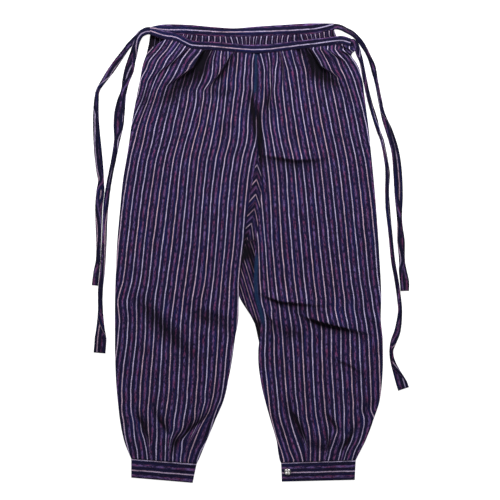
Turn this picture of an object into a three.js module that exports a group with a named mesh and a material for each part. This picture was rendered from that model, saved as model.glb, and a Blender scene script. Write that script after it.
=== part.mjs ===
import * as THREE from 'three';

// Monpe trousers, laid out flat on their back with the front facing up.
// Millimetres, +Z up from the surface they lie on, +Y towards the waist.
// The wearer's right leg is therefore on the -X side.

// Cloth and seams
const CLOTH = 1.4; // one layer of cloth, straight up through the wall
const STRIP = 2.4; // a folded strip sewn flat, as a waistband or a tie
const SEAM = 0.3; // between two pieces that are sewn together
const BACK_TOP = CLOTH; // the back panels lie on the surface
const FRONT_REST = BACK_TOP + SEAM; // underside of a front panel that lies on the back
const BAND_LIFT = 4.6; // underside of the front waistband, over the gathered back
const TUCK_LIFT = 3.6; // underside of a front panel's edge, over the gusset

// Grid of each leg panel
const FRONT_COLUMNS = 32;
const BACK_COLUMNS = 36;

// Gathers: each pair of columns of a back panel is one gather at the waist
const CUFF_GATHERS = 8;
const WAIST_GATHER_RISE = 2.4;
const WAIST_GATHER_REACH = 55;
const CUFF_GATHER_RISE = 2.2;
const CUFF_GATHER_REACH = 110;
const BACK_CUFF_RISE = 0.9;

// Ankle cuffs: a flattened ring of double cloth
const CUFF_WALL = 1.6;
const CUFF_HOLLOW = 0.8;
const CUFF_HEIGHT = 2 * CUFF_WALL + CUFF_HOLLOW;
const CUFF_RUN_STEPS = 7;
const CUFF_TURN_STEPS = 4;
const CUFF_STEPS = 3;

// Snap cap
const SNAP_X = 74;
const SNAP_Y = -437;
const SNAP_RADIUS = 6.3;
const SNAP_HEIGHT = 2;
const SNAP_SIDES = 28;

// A table with named columns, one row for each section or fold
function table(columns, ...rows) {
  return rows.map((row) => Object.fromEntries(columns.map((name, i) => [name, row[i]])));
}

// Reads one column of a table at any place, on a smooth curve through its rows
function reader(rows, key, column) {
  const sorted = [...rows].sort((a, b) => a[key] - b[key]);
  const at = sorted.map((row) => row[key]);
  const value = sorted.map((row) => row[column]);
  const last = at.length - 1;
  const slope = value.map((_, i) => {
    const before = Math.max(i - 1, 0);
    const after = Math.min(i + 1, last);
    return (value[after] - value[before]) / (at[after] - at[before]);
  });
  return (place) => {
    const held = THREE.MathUtils.clamp(place, at[0], at[last]);
    let i = 0;
    while (i < last - 1 && held > at[i + 1]) i += 1;
    const span = at[i + 1] - at[i];
    const t = (held - at[i]) / span;
    const ease = t * t * (3 - 2 * t);
    const lean = (slope[i] * (1 - t) - slope[i + 1] * t) * t * (1 - t) * span;
    return value[i] * (1 - ease) + value[i + 1] * ease + lean;
  };
}

const mix = THREE.MathUtils.lerp;

// Side edges of the leg panels, from the waist down to the cuff.
// steps: rows of the grid between this section and the next. crown: extra height mid-panel.
const EDGE = ['y', 'left', 'right', 'leftLift', 'rightLift', 'crown', 'steps'];

const FRONT_RIGHT = table(EDGE,
  [426, -173, 13.8, BAND_LIFT, BAND_LIFT, 0.2, 1],
  [406, -201, 13.8, BAND_LIFT, 4.2, 0.4, 2],
  [380, -214, 13.8, 4.2, 3.8, 1.0, 2],
  [346, -221, 13.6, 3.2, 3.2, 1.6, 2],
  [306, -229, 10.6, 2.4, 2.8, 1.8, 1],
  [256, -238, 12.6, FRONT_REST, 2.8, 1.8, 1],
  [206, -245, 13.4, FRONT_REST, TUCK_LIFT, 1.6, 1],
  [146, -255, 4.5, FRONT_REST, TUCK_LIFT, 1.4, 1],
  [86, -261, -5, FRONT_REST, TUCK_LIFT, 1.4, 1],
  [16, -267, -14, FRONT_REST, TUCK_LIFT, 1.4, 1],
  [-44, -269, -21, FRONT_REST, TUCK_LIFT, 1.4, 1],
  [-94, -271, -23.5, FRONT_REST, TUCK_LIFT, 1.4, 2],
  [-134, -271, -24.5, FRONT_REST, FRONT_REST, 1.6, 2],
  [-164, -271, -30, FRONT_REST, FRONT_REST, 1.6, 1],
  [-194, -271, -37.5, FRONT_REST, FRONT_REST, 1.6, 1],
  [-254, -269, -44.5, FRONT_REST, FRONT_REST, 1.6, 1],
  [-294, -265.5, -53.5, FRONT_REST, FRONT_REST, 1.8, 2],
  [-334, -261, -70.5, 2.2, 2.2, 1.6, 2],
  [-374, -253, -87, 2.8, 2.8, 1.0, 2],
  [-396, -245, -96.5, 3.0, 3.0, 0.5, 1],
  [-411, -238.5, -102.5, 3.0, 3.0, 0.3, 1],
  [-421, -238.5, -107.5, 3.0, 3.0, 0.2, 0],
);

const FRONT_LEFT = table(EDGE,
  [412, 14.2, 200, BAND_LIFT, BAND_LIFT, 0.2, 1],
  [404, 14.2, 204, 4.5, BAND_LIFT, 0.3, 1],
  [396, 14.2, 199, 4.3, BAND_LIFT, 0.5, 2],
  [378, 14.2, 212.5, 4.0, 4.2, 1.0, 2],
  [346, 14.4, 223.5, 3.2, 3.2, 1.6, 2],
  [306, 11.4, 228.5, 2.8, 2.4, 1.8, 1],
  [256, 13.4, 235.5, 2.8, FRONT_REST, 1.8, 1],
  [206, 15.6, 240.5, TUCK_LIFT, FRONT_REST, 1.6, 1],
  [146, 22, 246.5, TUCK_LIFT, FRONT_REST, 1.4, 1],
  [86, 18.5, 251.5, TUCK_LIFT, FRONT_REST, 1.4, 1],
  [16, 10.5, 256.5, TUCK_LIFT, FRONT_REST, 1.4, 1],
  [-44, 7, 259.5, TUCK_LIFT, FRONT_REST, 1.4, 1],
  [-84, 8, 261.5, TUCK_LIFT, FRONT_REST, 1.6, 2],
  [-134, 20, 260.5, TUCK_LIFT, FRONT_REST, 1.8, 2],
  [-164, 19, 263.5, TUCK_LIFT, FRONT_REST, 1.6, 1],
  [-194, 15.5, 264.5, 2.6, FRONT_REST, 1.6, 1],
  [-234, 17, 264.5, FRONT_REST, FRONT_REST, 1.6, 1],
  [-294, 29, 258.5, FRONT_REST, FRONT_REST, 1.8, 2],
  [-334, 40, 245.5, 2.2, 2.2, 1.6, 2],
  [-374, 52, 230.5, 2.8, 2.8, 1.0, 2],
  [-396, 55, 219.5, 3.0, 3.0, 0.5, 1],
  [-414, 58.5, 210.5, 3.0, 3.0, 0.2, 1],
  [-419, 61, 210.5, 3.0, 3.0, 0.2, 0],
);

const BACK_RIGHT = table(EDGE,
  [436, -200, 10.8, 0, 0, 0, 3],
  [398, -208, 10.8, 0, 0, 0, 1],
  [366, -217, 10.8, 0, 0, 0, 1],
  [206, -245, 10.8, 0, 0, 0, 1],
  [114, -258, 5.8, 0, 0, 0, 1],
  [-34, -269, -18, 0, 0, 0, 1],
  [-94, -271, -23.5, 0, 0, 0, 1],
  [-164, -271, -30, 0, 0, 0, 1],
  [-254, -269, -44.5, 0, 0, 0, 1],
  [-334, -261, -70.5, 0, 0, 0, 1],
  [-374, -253, -87.5, 0, 0, 0, 1],
  [-411, -238.5, -102.5, 0, 0, 0, 1],
  [-421, -238.5, -107.5, 0, 0, 0, 0],
);

const BACK_LEFT = table(EDGE,
  [436, 11.2, 167, 0, 0, 0, 3],
  [398, 11.2, 196.5, 0, 0, 0, 1],
  [366, 11.2, 218.5, 0, 0, 0, 1],
  [206, 11.2, 240.5, 0, 0, 0, 1],
  [114, 6.4, 248.5, 0, 0, 0, 1],
  [-34, -17.4, 259.5, 0, 0, 0, 1],
  [-84, -23, 261.5, 0, 0, 0, 1],
  [-134, 5.5, 260.5, 0, 0, 0, 1],
  [-174, 16.5, 264.5, 0, 0, 0, 1],
  [-254, 20, 262.5, 0, 0, 0, 1],
  [-334, 40, 245.5, 0, 0, 0, 1],
  [-374, 52, 230.5, 0, 0, 0, 1],
  [-414, 58.5, 210.5, 0, 0, 0, 1],
  [-419, 61, 210.5, 0, 0, 0, 0],
);

// Waistbands: middle line, width straight up the page, and height of the underside
const BAND = ['x', 'y', 'width', 'lift'];

const BAND_FRONT = table(BAND,
  [-201, 442.5, 13, 4.8],
  [-175, 435.5, 17, BAND_LIFT],
  [-149, 431, 17, BAND_LIFT],
  [-133, 424, 19, BAND_LIFT],
  [-117, 416, 17, BAND_LIFT],
  [-71, 413, 17, BAND_LIFT],
  [13, 407, 17.5, BAND_LIFT],
  [99, 415.5, 17, BAND_LIFT],
  [159, 422.5, 17, BAND_LIFT],
  [183, 425, 17.5, BAND_LIFT],
  [200, 420.5, 17, 4.2],
);

const BAND_BACK = table(BAND,
  [-201, 446, 12, 0],
  [-175, 446.5, 21, 0],
  [-127, 446, 21, 0],
  [-71, 442, 19.5, 0],
  [-31, 440.5, 18, 0],
  [9, 442.5, 20.5, 0],
  [59, 445, 22, 0],
  [115, 448, 22.5, 0],
  [140, 449.7, 19.5, 0],
  [166, 452.6, 13, 0],
);
const BAND_STEPS = 44;

// Ties: middle line, width and height of the folded or flat strip, height of its underside
const TIE = ['x', 'y', 'width', 'height', 'lift'];

const TIE_FRONT_RIGHT = table(TIE,
  [-201.4, 442.5, 12, 3, 4.8],
  [-206.5, 442.5, 12, 3.2, 4.8],
  [-212, 440.5, 12, 3.2, 4.4],
  [-219, 436.5, 12, 3.4, 4],
  [-225, 427, 12, 3.4, 3.6],
  [-229.5, 415, 13, 3, 3.6],
  [-232, 405, 14, 3, 2.2],
  [-234.5, 396, 15.5, 3, 0],
  [-238, 385, 16.5, 2.6, 0],
  [-243, 365, 19, STRIP, 0],
  [-249, 345, 15, 2.8, 0],
  [-253, 325, 12, 3.2, 0],
  [-258, 305, 17, 2.6, 0],
  [-262, 280, 21, STRIP, 0],
  [-264, 255, 20, STRIP, 0],
  [-267, 225, 12, 3.2, 0],
  [-274, 185, 9.5, 3.6, 0],
  [-282, 145, 9.5, 3.6, 0],
  [-288, 105, 10.5, 3.4, 0],
  [-291, 65, 9.5, 3.6, 0],
  [-292.5, 25, 9.5, 3.6, 0],
  [-296, -35, 9.5, 3.6, 0],
  [-300, -75, 9.5, 3.6, 0],
  [-300, -115, 10, 3.6, 0],
  [-300, -150, 17, 2.8, 0],
  [-300, -175, 25, STRIP, 0],
  [-302, -200, 25, STRIP, 0],
);

const TIE_BACK_RIGHT = table(TIE,
  [-201.4, 446, 11, STRIP, 0],
  [-207, 446, 11, 2.8, 0],
  [-213, 443.5, 11, 3, 0],
  [-221, 438, 11, 3, 0],
  [-232, 426.5, 10.5, 3, 0],
  [-243, 415, 10.5, 3, 0],
  [-252, 403, 10.5, 3, 0],
  [-265, 385, 12.5, 2.8, 0],
  [-279, 365, 13, 2.8, 0],
  [-293, 345, 10, 3.2, 0],
  [-305, 325, 7.5, 3.8, 0],
  [-308, 305, 9.5, 3.4, 0],
  [-309, 275, 11.5, 3.2, 0],
  [-308, 245, 13.5, 3, 0],
  [-305, 205, 15.5, 2.8, 0],
  [-301, 165, 14.5, 2.8, 0],
  [-299, 145, 12, 3, 0],
  [-300, 124, 16, 2.8, 0],
  [-303, 95, 15, 2.8, 0],
  [-303.5, 65, 13, 2.8, 0],
  [-303.5, 25, 10, 3.2, 0],
  [-304.5, -12, 9, 3.4, 0],
  [-308, -38, 12, 3.4, 0],
  [-311, -65, 12.5, 4, 0],
);

const TIE_BACK_LEFT = table(TIE,
  [166.4, 452.6, 12, STRIP, 0],
  [172, 452.6, 11, 2.8, 0],
  [181, 450.5, 10.5, 3, 0],
  [192, 445, 10, 3, 0],
  [204, 438.5, 10, 3.2, 0],
  [216, 427, 9.5, 3.2, 0],
  [225, 415, 9.5, 3.4, 0],
  [235, 397, 7.5, 3.8, 0],
  [243, 378, 10, 3.4, 0],
  [247, 363, 10, 3.4, 0],
  [251, 345, 7.5, 4, 0],
  [259, 305, 7.5, 4, 0],
  [263, 285, 8, 4, 0],
  [269, 265, 11, 3.4, 0],
  [277, 245, 14, 2.8, 0],
  [289, 205, 15.5, 2.6, 0],
  [294, 165, 17.5, 2.6, 0],
  [296.5, 115, 16.5, 2.6, 0],
  [298, 65, 10, 3.4, 0],
  [301, 25, 15, 2.8, 0],
  [303, -15, 12, 3.2, 0],
  [304.5, -35, 16, 2.8, 0],
  [308, -58, 18.5, 3.4, 0],
  [308.5, -76, 17, 4, 0],
);

const TIE_FRONT_LEFT = table(TIE,
  [200.4, 420.4, 15, 3, 4.2],
  [205, 420.4, 14, 3.4, 4],
  [210.5, 415, 12, 3.8, 3],
  [214.5, 405, 11.5, 4.4, 1],
  [217, 396, 10.5, 4.6, 0],
  [221, 385, 8.5, 4.4, 0],
  [225, 365, 8, 4.2, 0],
  [229, 345, 8, 4.2, 0],
  [238, 305, 8.5, 4, 0],
  [250, 265, 9, 4, 0],
  [255.5, 245, 7.5, 4.2, 0],
  [263, 225, 7, 4.2, 0],
  [271, 185, 7.5, 4.2, 0],
  [274, 160, 9, 4, 0],
  [273, 125, 8, 4.2, 0],
  [274.5, 90, 9, 4, 0],
  [279, 45, 8, 4.2, 0],
  [285, -15, 8, 4.2, 0],
  [292, -55, 8, 4.2, 0],
  [297.5, -95, 8, 4.2, 0],
  [299, -118, 8.5, 4, 0],
  [294, -155, 12.5, 3.4, 0],
  [286.5, -176, 12.5, 3.2, 0],
  [281.5, -196, 8, 4.2, 0],
  [284, -215, 9.5, 4, 0],
  [292, -237, 15, 3.2, 0],
  [301.5, -259, 22, STRIP, 0],
  [306, -272, 22.5, STRIP, 0],
);
const TIE_STEPS = 44;

// Gusset halves, under the leg panels' inner edges
const GUSSET = ['y', 'left', 'right', 'steps'];

const GUSSET_RIGHT = table(GUSSET,
  [190, 9, 13.6, 2],
  [146, 1.5, 11.6, 2],
  [82, -8, 6.6, 3],
  [26, -15.5, -8.4, 2],
  [6, -18, -14.4, 0],
);

const GUSSET_LEFT = table(GUSSET,
  [190, 14.2, 19, 2],
  [146, 12.2, 25, 2],
  [82, 7.2, 21.5, 3],
  [26, -7.8, 15, 2],
  [6, -13.8, 12.5, 2],
  [-44, -23, 10, 2],
  [-84, -23, 12, 2],
  [-114, -7, 19, 1],
  [-134, 6, 23, 1],
  [-174, 16, 21, 0],
);
const GUSSET_COLUMNS = 4;

// Pressed pleats and creases of the front, along three points.
// left, right: how far the ridge spreads to each hand of someone walking along it.
// start: 0 where the ridge rises from nothing, more where it comes out of the waistband.
const FOLD = ['x1', 'y1', 'x2', 'y2', 'x3', 'y3', 'rise', 'left', 'right', 'start'];

const FOLDS_RIGHT = table(FOLD,
  [-94, 402, -115, 370, -160, 336, 5.5, 7, 20, 0.2],
  [-122, 410, -156, 387, -205, 344, 4, 7, 15, 0.2],
  [-36, 398, -68, 352, -101, 316, 3, 7, 13, 0.15],
  [-222, -112, -190, -128, -160, -156, 3, 9, 20, 0],
  [-95, -122, -60, -138, -30, -148, 2.6, 9, 18, 0],
);

const FOLDS_LEFT = table(FOLD,
  [117, 408, 139, 377, 176, 354, 5.5, 20, 7, 0.2],
  [160, 404, 176, 394, 192, 384, 3, 11, 7, 0.2],
  [60, 398, 64, 360, 66, 330, 2, 11, 8, 0.15],
  [25, -86, 90, -96, 150, -106, 3.4, 20, 9, 0],
  [110, -126, 163, -138, 232, -164, 4.4, 22, 9, 0],
);

// Height that one fold adds at a place on the cloth
function foldRise(fold, x, y) {
  const points = [[fold.x1, fold.y1], [fold.x2, fold.y2], [fold.x3, fold.y3]];
  let best = { distance: Infinity };
  for (let i = 0; i < 2; i += 1) {
    const [ax, ay] = points[i];
    const [bx, by] = points[i + 1];
    const dx = bx - ax;
    const dy = by - ay;
    const along = THREE.MathUtils.clamp(((x - ax) * dx + (y - ay) * dy) / (dx * dx + dy * dy), 0, 1);
    const distance = Math.hypot(x - ax - dx * along, y - ay - dy * along);
    const leftHand = dx * (y - ay) - dy * (x - ax) > 0;
    if (distance < best.distance) best = { distance, leftHand, along: (i + along) / 2 };
  }
  const spread = best.leftHand ? fold.left : fold.right;
  const fade = Math.sin(Math.PI * mix(fold.start, 1, best.along));
  return fold.rise * fade * Math.exp(-((best.distance / spread) ** 2));
}

const totalRise = (folds, x, y) => folds.reduce((sum, fold) => sum + foldRise(fold, x, y), 0);

// A wall of cloth on a grid: under and over give its two faces at column i, row j
function wall(columns, rows, under, over) {
  const points = [];
  for (const face of [under, over]) {
    for (let j = 0; j <= rows; j += 1) {
      for (let i = 0; i <= columns; i += 1) points.push(...face(i, j));
    }
  }
  const layer = (columns + 1) * (rows + 1);
  const at = (i, j, face) => face * layer + j * (columns + 1) + i;
  const triangles = [];
  const quad = (a, b, c, d) => triangles.push(a, b, c, a, c, d);
  for (let j = 0; j < rows; j += 1) {
    for (let i = 0; i < columns; i += 1) {
      quad(at(i, j, 1), at(i, j + 1, 1), at(i + 1, j + 1, 1), at(i + 1, j, 1));
      quad(at(i, j, 0), at(i + 1, j, 0), at(i + 1, j + 1, 0), at(i, j + 1, 0));
    }
  }
  for (let i = 0; i < columns; i += 1) {
    quad(at(i, 0, 0), at(i, 0, 1), at(i + 1, 0, 1), at(i + 1, 0, 0));
    quad(at(i, rows, 0), at(i + 1, rows, 0), at(i + 1, rows, 1), at(i, rows, 1));
  }
  for (let j = 0; j < rows; j += 1) {
    quad(at(0, j, 0), at(0, j + 1, 0), at(0, j + 1, 1), at(0, j, 1));
    quad(at(columns, j, 0), at(columns, j, 1), at(columns, j + 1, 1), at(columns, j + 1, 0));
  }
  return shape(points, triangles);
}

function shape(points, triangles) {
  const geometry = new THREE.BufferGeometry();
  geometry.setAttribute('position', new THREE.Float32BufferAttribute(points, 3));
  geometry.setIndex(triangles);
  geometry.computeVertexNormals();
  return geometry;
}

// Places of the grid's rows, from a table's sections and their steps
function rowPlaces(sections) {
  const places = [];
  sections.forEach((section, i) => {
    for (let step = 0; step < section.steps; step += 1) {
      places.push(mix(section.y, sections[i + 1].y, step / section.steps));
    }
  });
  places.push(sections[sections.length - 1].y);
  return places;
}

// A leg panel: its rows run level across the leg, bent at the waist to the waistband's seam
// and at the ankle to the cuff's
function legPanel(edges, columns, waistSeam, cuffSeam, height) {
  const left = reader(edges, 'y', 'left');
  const right = reader(edges, 'y', 'right');
  const places = rowPlaces(edges);
  const top = places[0];
  const bottom = places[places.length - 1];
  const waistX = (u) => mix(left(top), right(top), u);
  const ankleX = (u) => mix(left(bottom), right(bottom), u);
  const place = (i, j) => {
    const u = i / columns;
    const v = (top - places[j]) / (top - bottom);
    const level = (across) => mix(waistSeam(waistX(across)), cuffSeam(ankleX(across)), v);
    const x = mix(left(level(0)), right(level(1)), u);
    return [x, level(u)];
  };
  const under = (i, j) => {
    const [x, y] = place(i, j);
    return [x, y, height(x, y, i, i / columns)];
  };
  const over = (i, j) => {
    const [x, y, z] = under(i, j);
    return [x, y, z + CLOTH];
  };
  return wall(columns, places.length - 1, under, over);
}

// Cuffs: corners seen from the front
const CUFFS = table(
  ['name', 'topLeftX', 'topLeftY', 'topRightX', 'topRightY', 'lowLeftX', 'lowLeftY', 'lowRightX', 'lowRightY'],
  ['cuff_right', -238.5, -411, -107.5, -421, -238.5, -449, -115.5, -459.5],
  ['cuff_left', 61, -419, 210.5, -414, 62.5, -457, 208.5, -453.5],
);

// Seam line between a leg and its cuff, at x
function cuffSeam(cuff) {
  const slope = (cuff.topRightY - cuff.topLeftY) / (cuff.topRightX - cuff.topLeftX);
  return (x) => cuff.topLeftY + SEAM + slope * (x - cuff.topLeftX);
}

// Lower edge of a waistband, where the panels are sewn on
function bandSeam(band) {
  const middle = reader(band, 'x', 'y');
  const width = reader(band, 'x', 'width');
  return (x) => middle(x) - width(x) / 2 - SEAM;
}

// Fades from 1 at a seam to 0 at a distance from it
const fadeFrom = (distance, reach) => THREE.MathUtils.smoothstep(reach - distance, 0, reach);

function frontPanel(edges, folds, cuff) {
  const leftLift = reader(edges, 'y', 'leftLift');
  const rightLift = reader(edges, 'y', 'rightLift');
  const crown = reader(edges, 'y', 'crown');
  const ankle = cuffSeam(cuff);
  const height = (x, y, i, u) => {
    const rest = mix(leftLift(y), rightLift(y), u) + crown(y) * 4 * u * (1 - u);
    const gather = 0.5 - 0.5 * Math.cos(2 * Math.PI * CUFF_GATHERS * u);
    const cuffRise = CUFF_GATHER_RISE * gather * fadeFrom(y - ankle(x), CUFF_GATHER_REACH);
    return rest + cuffRise + totalRise(folds, x, y);
  };
  return legPanel(edges, FRONT_COLUMNS, bandSeam(BAND_FRONT), ankle, height);
}

function backPanel(edges, cuff) {
  const waist = bandSeam(BAND_BACK);
  const ankle = cuffSeam(cuff);
  const height = (x, y, i, u) => {
    const atWaist = (i % 2) * WAIST_GATHER_RISE * fadeFrom(waist(x) - y, WAIST_GATHER_REACH);
    const gather = 0.5 - 0.5 * Math.cos(2 * Math.PI * CUFF_GATHERS * u);
    return atWaist + BACK_CUFF_RISE * gather * fadeFrom(y - ankle(x), CUFF_GATHER_REACH);
  };
  return legPanel(edges, BACK_COLUMNS, waist, ankle, height);
}

function gussetHalf(edges) {
  const left = reader(edges, 'y', 'left');
  const right = reader(edges, 'y', 'right');
  const places = rowPlaces(edges);
  const under = (i, j) => {
    const x = mix(left(places[j]), right(places[j]), i / GUSSET_COLUMNS);
    return [x, places[j], FRONT_REST];
  };
  const over = (i, j) => {
    const [x, y, z] = under(i, j);
    return [x, y, z + CLOTH];
  };
  return wall(GUSSET_COLUMNS, places.length - 1, under, over);
}

// A waistband, its long edges rounded off above
function waistband(band) {
  const [middle, width, lift] = ['y', 'width', 'lift'].map((name) => reader(band, 'x', name));
  const across = [0.5, 0.4, -0.4, -0.5];
  const thick = [0.6, 1, 1, 0.6];
  const left = band[0].x;
  const right = band[band.length - 1].x;
  const face = (up) => (i, j) => {
    const x = mix(left, right, i / BAND_STEPS);
    return [x, middle(x) + across[j] * width(x), lift(x) + up * thick[j] * STRIP];
  };
  return wall(BAND_STEPS, across.length - 1, face(0), face(1));
}

// A strip of sewn cloth along a middle line: flat below, its long edges rounded off above
function strip(rows, steps) {
  const curve = new THREE.CatmullRomCurve3(
    rows.map((row) => new THREE.Vector3(row.x, row.y, 0)), false, 'centripetal');
  const lengths = curve.getLengths(rows.length * 20);
  const stations = rows.map((row, i) => ({ ...row, at: lengths[i * 20 * rows.length / (rows.length - 1) | 0] }));
  const total = lengths[lengths.length - 1];
  const [width, height, lift] = ['width', 'height', 'lift'].map((name) => reader(stations, 'at', name));
  const section = [[-0.5, 0], [0.5, 0], [0.5, 0.6], [0.4, 1], [-0.4, 1], [-0.5, 0.6]];
  const points = [];
  for (let j = 0; j <= steps; j += 1) {
    const middle = curve.getPointAt(j / steps);
    const ahead = curve.getTangentAt(j / steps);
    const at = total * j / steps;
    for (const [across, up] of section) {
      points.push(
        middle.x + ahead.y * across * width(at),
        middle.y - ahead.x * across * width(at),
        Math.max(lift(at), 0) + up * height(at));
    }
  }
  const sides = section.length;
  const triangles = [];
  for (let j = 0; j < steps; j += 1) {
    for (let i = 0; i < sides; i += 1) {
      const a = j * sides + i;
      const b = j * sides + (i + 1) % sides;
      triangles.push(a, b + sides, b, a, a + sides, b + sides);
    }
  }
  const end = steps * sides;
  for (let i = 1; i < sides - 1; i += 1) {
    triangles.push(0, i, i + 1, end, end + i + 1, end + i);
  }
  return shape(points, triangles);
}

// A cuff: a ring of cloth pressed flat, open towards the leg and the foot
function cuffRing(cuff) {
  const loop = (wallIn) => {
    const radius = CUFF_HEIGHT / 2 - wallIn;
    const points = [];
    for (let i = 0; i < CUFF_RUN_STEPS; i += 1) points.push([i / CUFF_RUN_STEPS, 0, -1]);
    for (let i = 0; i < CUFF_TURN_STEPS; i += 1) {
      const turn = Math.PI * i / CUFF_TURN_STEPS;
      points.push([1, Math.sin(turn), -Math.cos(turn)]);
    }
    for (let i = 0; i < CUFF_RUN_STEPS; i += 1) points.push([1 - i / CUFF_RUN_STEPS, 0, 1]);
    for (let i = 0; i < CUFF_TURN_STEPS; i += 1) {
      const turn = Math.PI * i / CUFF_TURN_STEPS;
      points.push([0, -Math.sin(turn), Math.cos(turn)]);
    }
    return points.map(([across, out, up]) => [across, out * radius, CUFF_HEIGHT / 2 + up * radius]);
  };
  const loops = [loop(0), loop(CUFF_WALL)];
  const count = loops[0].length;
  const points = [];
  for (const ring of loops) {
    for (let j = 0; j <= CUFF_STEPS; j += 1) {
      const v = j / CUFF_STEPS;
      const leftX = mix(cuff.topLeftX, cuff.lowLeftX, v) + CUFF_HEIGHT / 2;
      const leftY = mix(cuff.topLeftY, cuff.lowLeftY, v);
      const rightX = mix(cuff.topRightX, cuff.lowRightX, v) - CUFF_HEIGHT / 2;
      const rightY = mix(cuff.topRightY, cuff.lowRightY, v);
      for (const [across, out, z] of ring) {
        points.push(mix(leftX, rightX, across) + out, mix(leftY, rightY, across), z);
      }
    }
  }
  const at = (i, j, ring) => ring * count * (CUFF_STEPS + 1) + j * count + i % count;
  const triangles = [];
  const quad = (a, b, c, d) => triangles.push(a, b, c, a, c, d);
  for (let i = 0; i < count; i += 1) {
    for (let j = 0; j < CUFF_STEPS; j += 1) {
      quad(at(i, j, 0), at(i + 1, j, 0), at(i + 1, j + 1, 0), at(i, j + 1, 0));
      quad(at(i, j, 1), at(i, j + 1, 1), at(i + 1, j + 1, 1), at(i + 1, j, 1));
    }
    quad(at(i, 0, 0), at(i, 0, 1), at(i + 1, 0, 1), at(i + 1, 0, 0));
    quad(at(i, CUFF_STEPS, 0), at(i + 1, CUFF_STEPS, 0), at(i + 1, CUFF_STEPS, 1), at(i, CUFF_STEPS, 1));
  }
  return shape(points, triangles);
}

// A pressed metal cap: a low dome with a rolled rim and a shallow ring round its middle
function snapCap() {
  const profile = [
    [0, 0], [0.92, 0], [1, 0.2], [0.98, 0.5], [0.86, 0.72], [0.7, 0.66], [0.55, 0.82], [0.28, 0.96], [0, 1],
  ];
  const outline = profile.map(([out, up]) => new THREE.Vector2(out * SNAP_RADIUS, up * SNAP_HEIGHT));
  const cap = new THREE.LatheGeometry(outline, SNAP_SIDES);
  cap.rotateX(Math.PI / 2);
  return cap;
}

const indigoCloth = new THREE.MeshStandardMaterial({ color: 0x2f2b4b, roughness: 0.92, metalness: 0 });
const bandCloth = new THREE.MeshStandardMaterial({ color: 0x332f55, roughness: 0.92, metalness: 0 });
const gussetCloth = new THREE.MeshStandardMaterial({ color: 0x2a2846, roughness: 0.92, metalness: 0 });
const nickel = new THREE.MeshStandardMaterial({ color: 0xb9b9bd, roughness: 0.3, metalness: 1 });

const group = new THREE.Group();

function add(name, geometry, material) {
  const mesh = new THREE.Mesh(geometry, material);
  mesh.name = name;
  group.add(mesh);
  return mesh;
}

add('leg_back_right', backPanel(BACK_RIGHT, CUFFS[0]), indigoCloth);
add('leg_back_left', backPanel(BACK_LEFT, CUFFS[1]), indigoCloth);
add('gusset_right', gussetHalf(GUSSET_RIGHT), gussetCloth);
add('gusset_left', gussetHalf(GUSSET_LEFT), gussetCloth);
add('leg_front_right', frontPanel(FRONT_RIGHT, FOLDS_RIGHT, CUFFS[0]), indigoCloth);
add('leg_front_left', frontPanel(FRONT_LEFT, FOLDS_LEFT, CUFFS[1]), indigoCloth);
add('waistband_back', waistband(BAND_BACK), bandCloth);
add('waistband_front', waistband(BAND_FRONT), bandCloth);
add('tie_back_right', strip(TIE_BACK_RIGHT, TIE_STEPS), bandCloth);
add('tie_back_left', strip(TIE_BACK_LEFT, TIE_STEPS), bandCloth);
add('tie_front_right', strip(TIE_FRONT_RIGHT, TIE_STEPS), bandCloth);
add('tie_front_left', strip(TIE_FRONT_LEFT, TIE_STEPS), bandCloth);
for (const cuff of CUFFS) add(cuff.name, cuffRing(cuff), bandCloth);
add('snap_cap', snapCap(), nickel).position.set(SNAP_X, SNAP_Y, CUFF_HEIGHT + SEAM);

export default group;
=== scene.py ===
# %% [markdown]
# # Monpe trousers, laid out flat
#
# Monpe are gathered work trousers of striped cotton. This pair lies on its back on a pale
# floor, seen from straight above: two wide legs, a narrow band across the front and another
# across the back, a long tie at each end of each band, and a cuff round each ankle.
#
# The lesson loads the plain solids of the same trousers as a fixed frame, and then makes each
# piece of cloth again as a thin closed shell in the same place, with its stripes, pleats,
# creases and stitches. Sizes are in millimetres, with X to the right, Y towards the waist and
# Z up from the floor. The wearer's right leg lies on the left.

# %% Load the frame
import math
import bpy
import numpy as np
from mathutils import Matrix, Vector


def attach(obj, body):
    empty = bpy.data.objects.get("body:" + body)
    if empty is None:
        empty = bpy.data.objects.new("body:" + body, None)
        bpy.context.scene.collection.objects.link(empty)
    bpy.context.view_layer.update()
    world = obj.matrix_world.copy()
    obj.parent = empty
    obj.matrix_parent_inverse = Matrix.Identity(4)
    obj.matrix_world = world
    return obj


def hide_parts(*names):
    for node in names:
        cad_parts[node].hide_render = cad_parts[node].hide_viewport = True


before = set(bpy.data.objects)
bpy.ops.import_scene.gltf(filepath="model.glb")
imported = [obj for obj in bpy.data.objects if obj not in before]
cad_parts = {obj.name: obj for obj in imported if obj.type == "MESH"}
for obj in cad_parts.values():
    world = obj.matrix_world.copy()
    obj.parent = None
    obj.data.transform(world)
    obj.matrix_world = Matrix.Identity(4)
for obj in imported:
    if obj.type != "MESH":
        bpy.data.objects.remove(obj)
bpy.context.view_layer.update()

MM = 0.001
PERIOD = 18.5  # from one light stripe to the next, across the cloth

# %% [markdown]
# ## Reading a short table
#
# A tailor notes a garment as a few measured sections and draws smooth curves through them. A
# table here does the same: named columns, one row for each section, and a function that reads
# any place between the rows on a smooth curve.

# %% Tables and curves
def table(columns, rows):
    """Columns by name, each an array with one value for each row."""
    names = columns.split()
    return {name: np.array([row[i] for row in rows], dtype=float) for i, name in enumerate(names)}


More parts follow.
